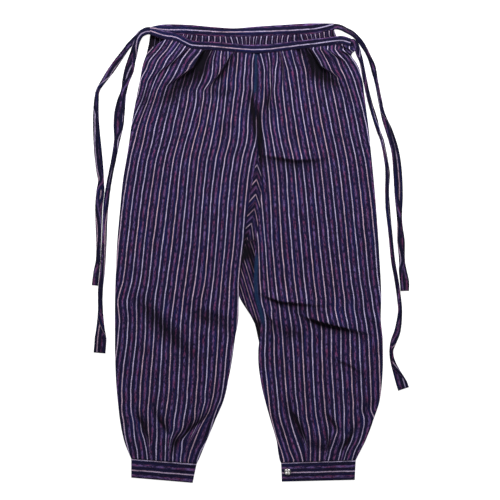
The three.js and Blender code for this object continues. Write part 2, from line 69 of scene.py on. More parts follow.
def reader(rows, key, column):
    """A smooth curve through one column of a table, held level past its ends."""
    order = np.argsort(rows[key])
    at, value = rows[key][order], rows[column][order]
    last = len(at) - 1
    before = np.maximum(np.arange(last + 1) - 1, 0)
    after = np.minimum(np.arange(last + 1) + 1, last)
    slope = (value[after] - value[before]) / (at[after] - at[before])

    def read(place):
        held = np.clip(place, at[0], at[last])
        i = np.clip(np.searchsorted(at, held, side="left") - 1, 0, last - 1)
        span = at[i + 1] - at[i]
        t = (held - at[i]) / span
        ease = t * t * (3 - 2 * t)
        lean = (slope[i] * (1 - t) - slope[i + 1] * t) * t * (1 - t) * span
        return value[i] * (1 - ease) + value[i + 1] * ease + lean

    return read


def smooth(low, high, x):
    """Rises smoothly from 0 at low to 1 at high."""
    t = np.clip((np.asarray(x, dtype=float) - low) / (high - low), 0, 1)
    return t * t * (3 - 2 * t)


def mix(a, b, t):
    return a + (b - a) * t


halfway = reader(table("at value", [(0, 0), (1, 10), (2, 40)]), "at", "value")(1.5)
print("a curve through 0, 10 and 40, halfway between the last two:", round(float(halfway), 1))

# %% [markdown]
# ## The cut of the legs
#
# Each leg has a front and a back panel. A section gives the two side edges of a panel, the
# height of its underside at each edge, and how far it is crowned between them. The front
# panels lie on the back ones. A sewing pattern could be draped by simulation, but the photo
# already says where every edge fell, so the edges are drawn as they lie. They are the same
# sections as in the solids, so the finished cloth stays where the solids are. Each leg is sewn
# a little way up into its band and down into its cuff, so that no floor shows at a seam.

# %% Sections of the front panels
BAND_LIFT = 4.6  # underside of the front band, over the gathered back
TUCK_LIFT = 3.6  # underside of a panel's inner edge, over the gusset
REST = 1.7  # underside of a front panel where it rests on the back one
BAND_TUCK = 1.2  # how far a leg's edge is sewn up into a band
CUFF_TUCK = 0.4  # and down into a cuff
EDGE = "y left right left_lift right_lift crown"

FRONT_RIGHT = table(EDGE, [
    (426, -173, 13.8, BAND_LIFT, BAND_LIFT, 0.2),
    (406, -201, 13.8, BAND_LIFT, 4.2, 0.4),
    (380, -214, 13.8, 4.2, 3.8, 1.0),
    (346, -221, 13.6, 3.2, 3.2, 1.6),
    (306, -229, 10.6, 2.4, 2.8, 1.8),
    (256, -238, 12.6, REST, 2.8, 1.8),
    (206, -245, 13.4, REST, TUCK_LIFT, 1.6),
    (146, -255, 4.5, REST, TUCK_LIFT, 1.4),
    (86, -261, -5, REST, TUCK_LIFT, 1.4),
    (16, -267, -14, REST, TUCK_LIFT, 1.4),
    (-44, -269, -21, REST, TUCK_LIFT, 1.4),
    (-94, -271, -23.5, REST, TUCK_LIFT, 1.4),
    (-134, -271, -24.5, REST, REST, 1.6),
    (-164, -271, -30, REST, REST, 1.6),
    (-194, -271, -37.5, REST, REST, 1.6),
    (-254, -269, -44.5, REST, REST, 1.6),
    (-294, -265.5, -53.5, REST, REST, 1.8),
    (-334, -261, -70.5, 2.2, 2.2, 1.6),
    (-374, -253, -87, 2.8, 2.8, 1.0),
    (-396, -245, -96.5, 3.0, 3.0, 0.5),
    (-411, -238.5, -102.5, 3.0, 3.0, 0.3),
    (-421, -238.5, -107.5, 3.0, 3.0, 0.2),
])

FRONT_LEFT = table(EDGE, [
    (412, 13.7, 206, BAND_LIFT, BAND_LIFT, 0.2),
    (404, 13.7, 208.5, 4.5, BAND_LIFT, 0.3),
    (396, 13.7, 201, 4.3, BAND_LIFT, 0.5),
    (378, 13.7, 212.5, 4.0, 4.2, 1.0),
    (346, 13.5, 223.5, 3.2, 3.2, 1.6),
    (306, 10.5, 228.5, 2.8, 2.4, 1.8),
    (256, 12.5, 235.5, 2.8, REST, 1.8),
    (206, 15.6, 240.5, TUCK_LIFT, REST, 1.6),
    (146, 22, 246.5, TUCK_LIFT, REST, 1.4),
    (86, 18.5, 251.5, TUCK_LIFT, REST, 1.4),
    (16, 10.5, 256.5, TUCK_LIFT, REST, 1.4),
    (-44, 7, 259.5, TUCK_LIFT, REST, 1.4),
    (-84, 8, 261.5, TUCK_LIFT, REST, 1.6),
    (-134, 20, 260.5, TUCK_LIFT, REST, 1.8),
    (-164, 19, 263.5, TUCK_LIFT, REST, 1.6),
    (-194, 15.5, 264.5, 2.6, REST, 1.6),
    (-234, 17, 264.5, REST, REST, 1.6),
    (-294, 29, 258.5, REST, REST, 1.8),
    (-334, 40, 245.5, 2.2, 2.2, 1.6),
    (-374, 52, 230.5, 2.8, 2.8, 1.0),
    (-396, 55, 219.5, 3.0, 3.0, 0.5),
    (-414, 58.5, 210.5, 3.0, 3.0, 0.2),
    (-419, 61, 210.5, 3.0, 3.0, 0.2),
])

print("front sections:", len(FRONT_RIGHT["y"]), "and", len(FRONT_LEFT["y"]))

# %% Sections of the back panels
SIDES = "y left right"

BACK_RIGHT = table(SIDES, [
    (436, -200, 10.8), (398, -208, 10.8), (366, -217, 10.8), (206, -245, 10.8), (114, -258, 5.8),
    (-34, -269, -18), (-94, -271, -23.5), (-164, -271, -30), (-254, -269, -44.5),
    (-334, -261, -70.5), (-374, -253, -87.5), (-411, -238.5, -102.5), (-421, -238.5, -107.5),
])

BACK_LEFT = table(SIDES, [
    (436, 10.2, 167), (398, 10.2, 196.5), (366, 10.2, 218.5), (206, 10.2, 240.5), (114, 4.6, 248.5),
    (-34, -18.8, 259.5), (-84, -23.4, 261.5), (-134, 5.5, 260.5), (-174, 16.5, 264.5),
    (-254, 20, 262.5), (-334, 40, 245.5), (-374, 52, 230.5), (-414, 58.5, 210.5), (-419, 61, 210.5),
])

print("back sections:", len(BACK_RIGHT["y"]), "and", len(BACK_LEFT["y"]))

# %% Bands, cuffs and the seams along them
BAND = "x y width lift"

BAND_FRONT = table(BAND, [
    (-201, 442.5, 13, 4.8), (-175, 435.5, 17, BAND_LIFT), (-149, 431, 17, BAND_LIFT),
    (-133, 424, 19, BAND_LIFT), (-117, 416, 17, BAND_LIFT), (-71, 413, 17, BAND_LIFT),
    (13, 407, 17.5, BAND_LIFT), (99, 415.5, 17, BAND_LIFT), (159, 422.5, 17, BAND_LIFT),
    (183, 425, 17.5, BAND_LIFT), (200, 420.5, 17, 4.2),
])

BAND_BACK = table(BAND, [
    (-201, 446, 12, 0), (-175, 446.5, 21, 0), (-127, 446, 21, 0), (-71, 442, 19.5, 0),
    (-31, 440.5, 18, 0), (9, 442.5, 20.5, 0), (59, 445, 22, 0), (115, 448, 22.5, 0),
    (140, 449.7, 19.5, 0), (166, 452.6, 13, 0),
])

CUFF_RIGHT = dict(top_left=(-238.5, -411), top_right=(-107.5, -421),
                  low_left=(-238.5, -449), low_right=(-115.5, -459.5))
CUFF_LEFT = dict(top_left=(61, -419), top_right=(210.5, -414),
                 low_left=(62.5, -457), low_right=(208.5, -453.5))


def band_seam(band):
    """Height on the page of a panel's edge, sewn a little way up into a band."""
    middle, width = reader(band, "x", "y"), reader(band, "x", "width")
    return lambda x: middle(x) - width(x) / 2 + BAND_TUCK


def cuff_seam(corners):
    """Height on the page of the line where a leg meets its cuff."""
    (x0, y0), (x1, y1) = corners["top_left"], corners["top_right"]
    return lambda x: y0 - CUFF_TUCK + (y1 - y0) / (x1 - x0) * (x - x0)


print("the left leg's inner edge, from cuff to band, mm:",
      round(float(band_seam(BAND_FRONT)(13.7) - cuff_seam(CUFF_LEFT)(61))))

# %% [markdown]
# ## Where the stripes run
#
# The cloth is woven with stripes, so every stripe is straight along the grain, and what bends
# them on the garment is only how the cloth lies. A table says where a few numbered light
# stripes cross each level of a leg. Between them the numbers are read off evenly, which gives
# each point of the cloth its own place across the weave. The texture is painted with these
# numbers, so it leans, crowds and spreads exactly as the cloth does. A projected pattern would
# stay straight across every fold and look printed on.
#
# A column is named for its stripe: n4 is the fourth light stripe, and n4h the middle of the
# purple band between the fourth and the fifth.

# %% Where the right leg's light stripes cross each level
THIGH_RIGHT = table("y n1 n4 n7 n10 n13 n16", [
    (432, 10, -36, -66, -84, -119, -167),
    (408, 9, -36, -68, -90, -136, -182),
    (386, 5, -37, -74, -105, -152, -201),
    (366, 4, -41, -77, -117, -164, -209),
    (346, 3, -45, -82, -128, -175, -219),
    (326, 3, -47, -92, -137, -186, -223),
    (306, 0, -50, -93, -142, -192, -229),
    (266, -5, -55, -101, -151, -205, -249),
    (226, -7, -60, -112, -160, -214, -265),
    (186, -17, -69, -121, -171, -223, -275),
    (106, -27, -79, -129, -183, -236, -289),
    (26, -33, -84, -137, -194, -245, -299),
    (-54, -41, -91, -148, -203, -254, -307),
    (-94, -43, -98, -153, -209, -265, -319),
    (-134, -45, -101, -158, -210, -262, -315),
    (-174, -46, -103, -159, -211, -265, -319),
    (-254, -53, -106, -162, -219, -275, -331),
    (-294, -60, -109, -165, -221, -276, -331),
    (-334, -71, -110, -170, -220, -277, -333),
])
ANKLE_RIGHT = table("y n1 n2 n2h n3h n4 n5 n5h n6h n7 n8 n8h n9h n10 n11 n12", [
    (-274, -57, -73, -81, -98, -107, -125, -135, -154, -164, -184, -193, -211, -220, -238, -257),
    (-294, -60, -77, -83, -99, -109, -127, -137, -156, -165, -185, -194, -212, -221, -239, -257),
    (-314, -68, -82, -88, -103, -111, -130, -139, -158, -168, -187, -196, -214, -222, -239, -257),
    (-334, -75, -93, -97, -107, -112, -133, -142, -162, -171, -187, -196, -213, -220, -235, -254),
    (-354, -80, -103, -108, -115, -121, -137, -146, -162, -169, -187, -196, -212, -218, -233, -252),
    (-374, -87, -111, -120, -123, -136, -150, -156, -164, -169, -187, -198, -206, -212, -231, -249),
    (-394, -99, -119, -127, -128.5, -138, -154, -161, -163, -170, -188, -200, -202, -208, -227, -244),
    (-414, -106, -124, -131, -132, -140, -155, -162, -163, -171, -189, -198, -199, -206, -225, -240),
])
print("right leg:", len(THIGH_RIGHT) - 1, "stripes noted at the thigh,",
      len(ANKLE_RIGHT) - 1, "at the ankle")

# %% Where the left leg's light stripes cross each level
THIGH_LEFT = table("y n-2 n0 n2 n4 n6 n8 n10 n12", [
    (406, -19, 17, 52, 64, 98, 119, 142, 171),
    (386, -13, 23, 51, 71, 102, 132, 153, 187),
    (366, -10, 27, 49, 77, 108, 139, 164, 199),
    (346, -8, 27, 49, 79, 111, 143, 174, 207),
    (306, -10, 25, 51, 83, 117, 151, 186, 219),
    (266, -12, 23, 54, 89, 123, 159, 194, 229),
    (226, -7, 28, 60, 95, 131, 167, 202, 237),
    (186, -3, 33, 69, 103, 139, 175, 211, 247),
    (106, 4, 40, 75, 112, 148, 185, 221, 258),
    (26, 15, 43, 81, 119, 156, 193, 229, 267),
    (-54, 19, 50, 88, 127, 165, 201, 237, 273),
    (-94, 22, 55, 94, 132, 169, 207, 243, 279),
    (-114, 26, 59, 95, 133, 170, 208, 246, 284),
    (-154, 30, 63, 102, 141, 179, 215, 253, 290),
    (-214, 29, 67, 105, 143, 181, 219, 257, 295),
    (-294, 37, 73, 110, 147, 186, 223, 260, 297),
    (-334, 43, 80, 113, 153, 187, 227, 263, 299),
])
ANKLE_LEFT = table("y n-2 n-1 n0 n0h n1h n2 n3 n3h n4h n5 n6 n7 n8", [
    (-274, 35, 53, 71, 80, 99, 109, 127, 136, 156, 165, 185, 204, 222),
    (-294, 37, 55, 73, 83, 101, 110, 129, 138, 158, 167, 186, 205, 223),
    (-314, 39, 57, 76, 85, 103, 111, 130, 139, 159, 168, 187, 205, 223),
    (-334, 43, 60, 80, 89, 105, 113, 133, 143, 161, 169, 187, 206, 227),
    (-354, 48, 66, 85, 95, 109, 117, 136, 146, 164, 173, 187, 207, 225),
    (-374, 54, 72, 92, 106, 112, 119, 139, 151, 160, 167, 187, 202, 219),
    (-394, 61, 78, 99, 111, 112.5, 120, 139, 152, 153.5, 160, 181, 193, 209),
    (-414, 67, 86, 104, 113, 114, 119, 138, 148, 149, 155, 176, 187, 203),
])
print("left leg:", len(THIGH_LEFT) - 1, "stripes noted at the thigh,",
      len(ANKLE_LEFT) - 1, "at the ankle")

# %% Stripe numbers all over a leg
ANKLE_FROM, ANKLE_TO = -276, -300  # where the ankle's table takes over from the thigh's


def stripe_number(column):
    """The number in a column's name, where h stands for a half."""
    return float(column.strip("nh")) + (0.5 if column.endswith("h") else 0)


def stripe_reader(rows):
    """Gives the stripe number at any place of a panel."""
    columns = [name for name in rows if name != "y"]
    lines = [reader(rows, "y", name) for name in columns]
    numbers = np.array([stripe_number(name) for name in columns])

    def read(x, y):
        places = np.stack([line(y) for line in lines], axis=-1)
        if places[..., 0].mean() > places[..., -1].mean():
            places, order = places[..., ::-1], numbers[::-1]
        else:
            order = numbers
        result = np.full(x.shape, np.nan)
        last = len(order) - 2
        for i in range(last + 1):
            low, high = places[..., i], places[..., i + 1]
            t = (x - low) / (high - low)
            inside = ((t >= 0) | (i == 0)) & ((t < 1) | (i == last))
            result = np.where(inside, order[i] + t * (order[i + 1] - order[i]), result)
        return result

    return read


def leg_stripes(thigh, ankle):
    """The stripe number all down a leg."""
    upper, lower = stripe_reader(thigh), stripe_reader(ankle)
    return lambda x, y: mix(upper(x, y), lower(x, y), smooth(ANKLE_FROM, ANKLE_TO, y))


knee = leg_stripes(THIGH_RIGHT, ANKLE_RIGHT)(np.array([-150.0]), np.array([-150.0]))
print("stripe number at the middle of the right knee:", round(float(knee[0]), 2))

# %% [markdown]
# ## Pleats and creases
#
# The front is pressed into a few large pleats under the band and has many soft creases at the
# knees, the seat and the ankles. Each one is a line through three points, with how high its
# ridge rises, how far it spreads to each hand of someone who walks along it, and how much
# cloth it takes up, counted in stripes. A pleat has one steep side, where the cloth dips under,
# so the stripes jump there by what is hidden. Hollows have a negative rise. No two are alike.
# Sculpting or simulating them would give creases too, but not these ones in these places.
#
# Little light gets into a dip, so its shade is painted into the cloth. A row also says
# how dark that painted shade is in the dip beside the ridge, and how far it reaches.

# %% Folds of the right front
FOLD = "x1 y1 x2 y2 x3 y3 rise left right start take dark reach"

FOLDS_RIGHT = table(FOLD, [
    # pleats out of the band
    (-92, 410, -115, 370, -170, 334, 7.0, 3, 24, 0.3, 1.5, 1.0, 20),
    (-90, 402, -98, 368, -112, 326, -2.4, 13, 17, 0.2, 0, 0.85, 0),
    (-118, 350, -156, 322, -202, 286, -2.6, 20, 14, 0.1, 0, 0.85, 0),
    (-89, 322, -57, 316, -25, 320, -1.6, 10, 9, 0.1, 0, 0.5, 0),
    (-67, 246, -47, 250, -27, 254, -1.2, 8, 8, 0.1, 0, 0.35, 0),
    (-203, 334, -210, 302, -215, 268, -1.8, 9, 9, 0.1, 0, 0.5, 0),
    (-121, 414, -156, 382, -211, 342, 4.4, 3.5, 16, 0.25, 0.45, 0.3, 6),
    (-36, 402, -62, 358, -96, 322, 4.6, 3, 14, 0.25, 0.9, 0.75, 11),
    (-40, 386, -58, 352, -74, 322, -1.6, 10, 10, 0.1, 0, 0.3, 0),
    (-96, 322, -102, 290, -106, 250, 2.0, 8, 10, 0.1, 0.2, 0.15, 8),
    # small gathers along the band
    (-70, 408, -73, 392, -78, 372, 1.4, 4, 5, 0.4, 0.1, 0.25, 4),
    (-140, 422, -152, 404, -166, 384, 1.5, 5, 6, 0.4, 0.1, 0.2, 4),
    (-165, 426, -184, 404, -204, 372, 1.7, 6, 7, 0.3, 0.1, 0.2, 4),
    (-190, 428, -198, 408, -206, 384, -1.2, 5, 5, 0.4, 0, 0.3, 0),
    (-20, 402, -22, 380, -24, 350, 1.3, 5, 5, 0.4, 0, 0.2, 5),
    (-52, 404, -50, 392, -50, 378, -1.0, 4, 4, 0.5, 0, 0.35, 0),
    (-112, 410, -118, 400, -128, 388, -1.0, 4, 4, 0.5, 0, 0.3, 0),
    # the deep fold beside the centre seam
    (1, 320, 6, 276, 12, 210, -2.6, 5, 5.5, 0.1, 0, 1.6, 0),
    # seat and thigh
    (-190, 330, -196, 270, -204, 200, 2.4, 16, 14, 0, 0, 0, 0),
    (-150, 322, -160, 250, -176, 170, 1.8, 18, 12, 0, 0, 0.1, 10),
    (-60, 300, -66, 230, -84, 150, 1.6, 14, 14, 0, 0, 0, 0),
    (-232, 240, -222, 180, -232, 110, 1.5, 9, 10, 0, 0, 0, 0),
    (-110, 120, -122, 60, -118, -10, 1.3, 16, 20, 0, 0, 0, 0),
    (-30, 150, -46, 80, -50, 0, 1.3, 10, 14, 0, 0, 0, 0),
    (-250, 60, -236, 20, -244, -40, 1.3, 8, 12, 0, 0, 0, 0),
    # behind the knee
    (-222, -96, -160, -162, -82, -234, -3.2, 15, 19, 0.2, 0.04, 0.9, 0),
    (-226, -96, -196, -112, -158, -142, 2.6, 14, 18, 0, 0.05, 0, 0),
    (-104, -124, -64, -138, -24, -146, -3.0, 12, 14, 0.3, 0.04, 0.75, 0),
    (-100, -104, -66, -120, -26, -130, 2.4, 12, 10, 0, 0.04, 0, 0),
    (-256, -96, -238, -112, -214, -122, 1.8, 6, 10, 0, 0, 0.1, 6),
    (-170, -60, -140, -84, -100, -92, 1.4, 8, 12, 0, 0, 0, 0),
    (-200, -190, -160, -206, -110, -200, 1.3, 12, 14, 0, 0, 0, 0),
    (-250, -220, -210, -236, -170, -232, 1.2, 10, 14, 0, 0, 0, 0),
    # gathers above the cuff
    (-231, -316, -215, -344, -205, -388, -4.2, 8, 3.5, 0.12, 0, 1.2, 0),
    (-197, -310, -173, -346, -160, -368, -3.6, 8, 5, 0.1, 0, 1.0, 0),
    (-82, -320, -124, -355, -154, -388, -4.2, 4, 8, 0.12, 0, 1.15, 0),
    (-71, -318, -86, -350, -97, -384, -1.4, 7, 7, 0.1, 0, 0.45, 0),
    (-146, -366, -153, -388, -158, -408, -2.4, 5, 6, 0.2, 0, 0.8, 0),
    (-232, -372, -226, -394, -221, -412, 1.8, 5, 6, 0.3, 0, 0.15, 4),
    (-204, -360, -200, -388, -199, -412, 2.0, 5, 6, 0.3, 0, 0.3, 4),
    (-184, -352, -182, -384, -183, -414, 1.9, 6, 5, 0.3, 0, 0.2, 4),
    (-150, -350, -158, -386, -162, -416, 2.0, 5, 6, 0.3, 0, 0.3, 4),
    (-118, -366, -126, -392, -131, -418, 1.9, 6, 5, 0.3, 0, 0.25, 4),
])
print("folds of the right front:", len(FOLDS_RIGHT["x1"]))

# %% Folds of the left front
FOLDS_LEFT = table(FOLD, [
    # pleats out of the band
    (117, 412, 140, 374, 180, 350, 6.8, 24, 3, 0.3, 1.5, 1.0, 18),
    (118, 398, 132, 358, 172, 322, -2.6, 14, 16, 0.12, 0, 0.88, 0),
    (150, 354, 176, 336, 200, 308, -1.8, 8, 10, 0.1, 0, 0.6, 0),
    (163, 400, 176, 392, 192, 382, 3.6, 12, 3, 0.2, 0.6, 0.8, 5),
    (60, 402, 67, 372, 66, 326, 3.2, 9, 3.5, 0.25, 0.7, 0.7, 6),
    (46, 344, 42, 314, 34, 284, 3.0, 10, 3.5, 0.1, 0.5, 0.75, 8),
    # small gathers along the band
    (36, 400, 40, 374, 44, 340, 1.6, 5, 5, 0.4, 0.1, 0.2, 5),
    (84, 404, 88, 384, 92, 356, 1.4, 5, 5, 0.4, 0.1, 0.25, 5),
    (92, 408, 104, 398, 112, 384, -1.6, 6, 6, 0.4, 0, 0.6, 0),
    (140, 410, 156, 394, 176, 374, 1.5, 6, 6, 0.4, 0.1, 0.1, 4),
    (180, 416, 192, 409, 206, 404, 3.4, 4, 2.5, 0.2, 0.3, 0.9, 4),
    (180, 404, 192, 400, 206, 392, 3.0, 5, 2.5, 0.2, 0.2, 0.8, 4),
    (140, 402, 158, 388, 176, 372, -1.4, 5, 6, 0.2, 0, 0.4, 0),
    # the deep fold beside the centre seam
    (13, 296, 18, 240, 24, 152, -3.0, 5.5, 6, 0.12, 0, 1.6, 0),
    (30, 330, 34, 290, 27, 250, -1.4, 4, 4, 0.1, 0, 0.7, 0),
    # seat and thigh
    (26, 196, 90, 186, 160, 190, 3.8, 20, 4, 0.12, 0.05, 0.9, 17),
    (150, 330, 170, 270, 186, 200, 1.8, 12, 18, 0, 0, 0, 0),
    (96, 310, 104, 250, 120, 196, 1.7, 14, 14, 0, 0, 0, 0),
    (214, 300, 208, 240, 218, 170, 1.7, 10, 12, 0, 0, 0, 0),
    (60, 130, 72, 60, 84, -20, 1.3, 14, 16, 0, 0, 0, 0),
    (160, 140, 176, 70, 184, 0, 1.4, 18, 14, 0, 0, 0, 0),
    (236, 110, 228, 50, 238, -10, 1.4, 9, 12, 0, 0, 0, 0),
    # behind the knee
    (30, -86, 60, -97, 162, -106, 4.4, 18, 2.6, 0.14, 0.05, 1.2, 7),
    (60, -112, 110, -118, 160, -128, -1.8, 9, 9, 0, 0, 0.35, 0),
    (108, -127, 150, -140, 250, -164, 5.4, 20, 3, 0.12, 0.25, 1.4, 12),
    (166, -210, 200, -224, 232, -246, 2.6, 14, 3, 0.1, 0, 0.8, 4),
    (30, -116, 45, -136, 41, -166, 2.8, 8, 4, 0.1, 0.3, 0.75, 7),
    (44, -146, 80, -163, 122, -168, -2.2, 12, 13, 0.12, 0, 0.62, 0),
    (230, -120, 246, -132, 262, -146, 2.2, 8, 6, 0, 0, 0.2, 6),
    (70, -210, 110, -226, 160, -220, 1.3, 14, 12, 0, 0, 0, 0),
    # gathers above the cuff
    (76, -304, 99, -346, 117, -390, -4.4, 3.5, 9, 0.12, 0, 1.25, 0),
    (148, -320, 170, -346, 184, -364, -2.8, 4, 5, 0.1, 0, 0.85, 0),
    (213, -344, 194, -378, 174, -404, -3.8, 4, 6, 0.1, 0, 1.1, 0),
    (222, -324, 236, -306, 250, -286, -1.8, 6, 6, 0.1, 0, 0.5, 0),
    (122, -384, 144, -392, 168, -386, -1.8, 8, 7, 0.2, 0, 0.55, 0),
    (150, -352, 156, -378, 151, -402, -2.8, 4, 5, 0.1, 0, 0.8, 0),
    (60, -330, 66, -362, 74, -396, -2.0, 7, 7, 0, 0, 0.2, 0),
    (74, -376, 80, -396, 86, -416, 1.9, 6, 6, 0.3, 0, 0.2, 4),
    (104, -372, 108, -394, 112, -416, 1.8, 6, 5, 0.3, 0, 0.3, 4),
    (134, -356, 134, -388, 132, -416, 2.0, 6, 6, 0.3, 0, 0.2, 4),
    (172, -360, 162, -390, 156, -416, 2.2, 6, 6, 0.3, 0, 0.2, 4),
    (196, -372, 188, -394, 182, -415, 2.0, 5, 6, 0.3, 0, 0.25, 4),
    (216, -360, 206, -388, 200, -414, 1.8, 5, 6, 0.3, 0, 0.2, 4),
])
print("folds of the left front:", len(FOLDS_LEFT["x1"]))

# %% Height, step and shade of the folds
PLEAT_FALL = 1.2  # how far past its line a pleat's steep side falls
PLEAT_EDGE = 1.4  # half the width of the step in the stripes at a pleat's edge
PLEAT_REACH = 24  # how far the stripes beside a pleat shift to make up for it


def fold_place(fold, x, y):
    """Signed distance from a fold's line (more than 0 to the left hand) and place along it."""
    best = np.full(x.shape, np.inf)
    side = np.zeros(x.shape)
    along = np.zeros(x.shape)
    for i in (1, 2):
        ax, ay, bx, by = (fold[f"{axis}{n}"] for n in (i, i + 1) for axis in "xy")
        dx, dy = bx - ax, by - ay
        t = np.clip(((x - ax) * dx + (y - ay) * dy) / (dx * dx + dy * dy), 0, 1)
        distance = np.hypot(x - ax - dx * t, y - ay - dy * t)
        nearer = distance < best
        best = np.where(nearer, distance, best)
        side = np.where(nearer, np.sign(dx * (y - ay) - dy * (x - ax)), side)
        along = np.where(nearer, (i - 1 + t) / 2, along)
    return best * side, along


def each_fold(folds):
    for i in range(len(folds["x1"])):
        yield {name: column[i] for name, column in folds.items()}


def fold_shape(folds, hand, x, y):
    """Height that the folds add, the step that they make in the stripes, and the shade painted into
    their dips.
    """
    rise, step, shade = np.zeros(x.shape), np.zeros(x.shape), np.zeros(x.shape)
    for fold in each_fold(folds):
        distance, along = fold_place(fold, x, y)
        fade = np.sin(math.pi * mix(fold["start"], 1, along))
        spread = np.where(distance > 0, fold["left"], fold["right"])
        bell = np.exp(-(distance / spread) ** 2)
        rise += fold["rise"] * fade * bell
        steep = 1 if fold["left"] < fold["right"] else -1
        dip = distance * steep
        if fold["take"]:
            edge = distance - PLEAT_FALL * steep
            sharp = np.tanh(edge / PLEAT_EDGE) - np.tanh(edge / PLEAT_REACH)
            step += hand * fold["take"] / 2 * fade * sharp
        # painted shade: a hollow dims across its width, a ridge on its steep side and beyond it
        if fold["rise"] < 0:
            shade += fold["dark"] * fade * bell
        elif fold["reach"]:
            beyond = np.exp(-(np.maximum(dip, 0) / fold["reach"]) ** 2)
            shade += fold["dark"] * fade * smooth(-PLEAT_FALL, PLEAT_FALL, dip) * beyond
    return rise, step, shade


risen = float(fold_shape(FOLDS_LEFT, 1, np.array([140.0]), np.array([374.0]))[0][0])
print("at x 140, y 374 the folds raise the left front by mm:", round(risen, 1))

# %% [markdown]
# ## Thin cloth as a closed shell
#
# Cloth has two faces and a thickness, and a renderer or a printer wants it closed all round.
# The upper face is a fine grid that carries the creases. The lower face is a coarser grid, as
# nobody looks under the cloth, and a narrow rim joins the two. A Solidify modifier would make
# the lower face as fine as the upper one, with twice the triangles. The stripe numbers go into
# a UV map, so that one striped material serves every piece.

# %% A mesh with the cloth's map and attributes
def cloth_object(name, points, faces, uvs, shades, teals=None):
    """A mesh object in metres, with the cloth's UV map and its attributes."""
    mesh = bpy.data.meshes.new(name)
    mesh.from_pydata((points * MM).tolist(), [], faces)
    corners = np.empty(len(mesh.loops), dtype=np.int32)
    mesh.loops.foreach_get("vertex_index", corners)
    layer = mesh.uv_layers.new(name="cloth")
    layer.data.foreach_set("uv", uvs[corners].astype(np.float32).ravel())
    shade = mesh.attributes.new("shade", "FLOAT", "POINT")
    shade.data.foreach_set("value", shades.astype(np.float32))
    teal = mesh.attributes.new("selvedge", "FLOAT", "POINT")
    teal.data.foreach_set("value", (shades * 0 if teals is None else teals).astype(np.float32))
    mesh.polygons.foreach_set("use_smooth", np.ones(len(mesh.polygons), dtype=bool))
    mesh.validate()
    piece = bpy.data.objects.new(name, mesh)
    bpy.context.scene.collection.objects.link(piece)
    return piece


# %% Faces of a grid, and the rim between two
def grid_faces(ids, flip):
    """Quads between the points of a grid, turned over for a face that looks down."""
    corners = [ids[:-1, :-1], ids[1:, :-1], ids[1:, 1:], ids[:-1, 1:]]
    quads = np.stack(corners, axis=-1).reshape(-1, 4)
    return quads[:, ::-1].tolist() if flip else quads.tolist()


def rim_faces(upper, lower):
    """Joins the border of a fine grid to the border of a coarse one."""
    faces = []
    borders = [
        (upper[0, :], lower[0, :]),
        (upper[:, -1], lower[:, -1]),
        (upper[-1, ::-1], lower[-1, ::-1]),
        (upper[::-1, 0], lower[::-1, 0]),
    ]
    for fine, coarse in borders:
        steps = (len(fine) - 1) // (len(coarse) - 1)
        for i in range(len(coarse) - 1):
            top = fine[i * steps:(i + 1) * steps + 1].tolist()
            faces.append(top + [int(coarse[i + 1]), int(coarse[i])])
    return faces


small_grid = np.arange(9).reshape(3, 3)
print("faces of a grid of nine points:", grid_faces(small_grid, False))


# %% The closed shell
COARSE = 4  # one square of a lower face for this many of the upper face, each way


def lowest_near(z, reach):
    """The lowest value within a few grid steps of each point, each way."""
    for axis in (0, 1):
        ends = [(reach, reach) if i == axis else (0, 0) for i in (0, 1)]
        padded = np.pad(z, ends, mode="edge")
        windows = np.lib.stride_tricks.sliding_window_view(padded, 2 * reach + 1, axis=axis)
        z = windows.min(axis=-1)
    return z


def cloth_shell(name, upper, floor, thick, uv, shade, teal=None):
    """A closed shell. upper is a fine grid of points with rows down the page and columns to
    the right. The lower face lies a thickness under it, at every few points of the grid, and
    never under the floor. uv, shade and teal belong to the upper face."""
    rows, columns = upper.shape[:2]
    lower = upper.copy()
    lower[..., 2] = np.maximum(lowest_near(upper[..., 2], COARSE) - thick, floor)
    pick = (slice(None, None, COARSE), slice(None, None, COARSE))
    lower = lower[pick]
    fine = np.arange(rows * columns).reshape(rows, columns)
    coarse = rows * columns + np.arange(lower[..., 0].size).reshape(lower.shape[:2])
    points = np.concatenate([upper.reshape(-1, 3), lower.reshape(-1, 3)])

    def both(values, width):
        return np.concatenate([values.reshape(-1, width), values[pick].reshape(-1, width)])

    teals = None if teal is None else both(teal, 1)[:, 0]
    faces = grid_faces(fine, False) + grid_faces(coarse, True) + rim_faces(fine, coarse)
    piece = cloth_object(name, points, faces, both(uv, 2), both(shade, 1)[:, 0], teals)
    print(name, "triangles:", sum(len(p.vertices) - 2 for p in piece.data.polygons))
    return piece


# %% [markdown]
# ## The striped cotton
#
# The cotton is woven in navy, with a narrow lilac stripe and, midway between two of those, a
# band where purple and wine threads come and go in dashes. Three masks make it: distance from
# the nearest whole stripe number gives the lilac line, distance from the nearest half gives the
# purple band, and noise stretched along the grain breaks the band into dashes. More noise makes
# the lines waver, fray and turn pinker here and there, and scatters dark slubs and pale lint.
# Fine threads in two directions are a bump. The masks read the UV map, so they follow every
# piece. A picture of cloth would repeat, and it would stretch at each fold.
#
# Two attributes come from the mesh: the blue selvedge, and the painted shade of the dips. A dip
# first dims its cloth, stripes and all, and only the deepest turns nearly black.

# %% Small helpers for materials
def colour(r, g, b):
    """An sRGB colour, 0 to 255, as the linear colour that a shader wants."""
    def linear(c):
        c /= 255
        return c / 12.92 if c <= 0.04045 else ((c + 0.055) / 1.055) ** 2.4
    return (linear(r), linear(g), linear(b), 1)


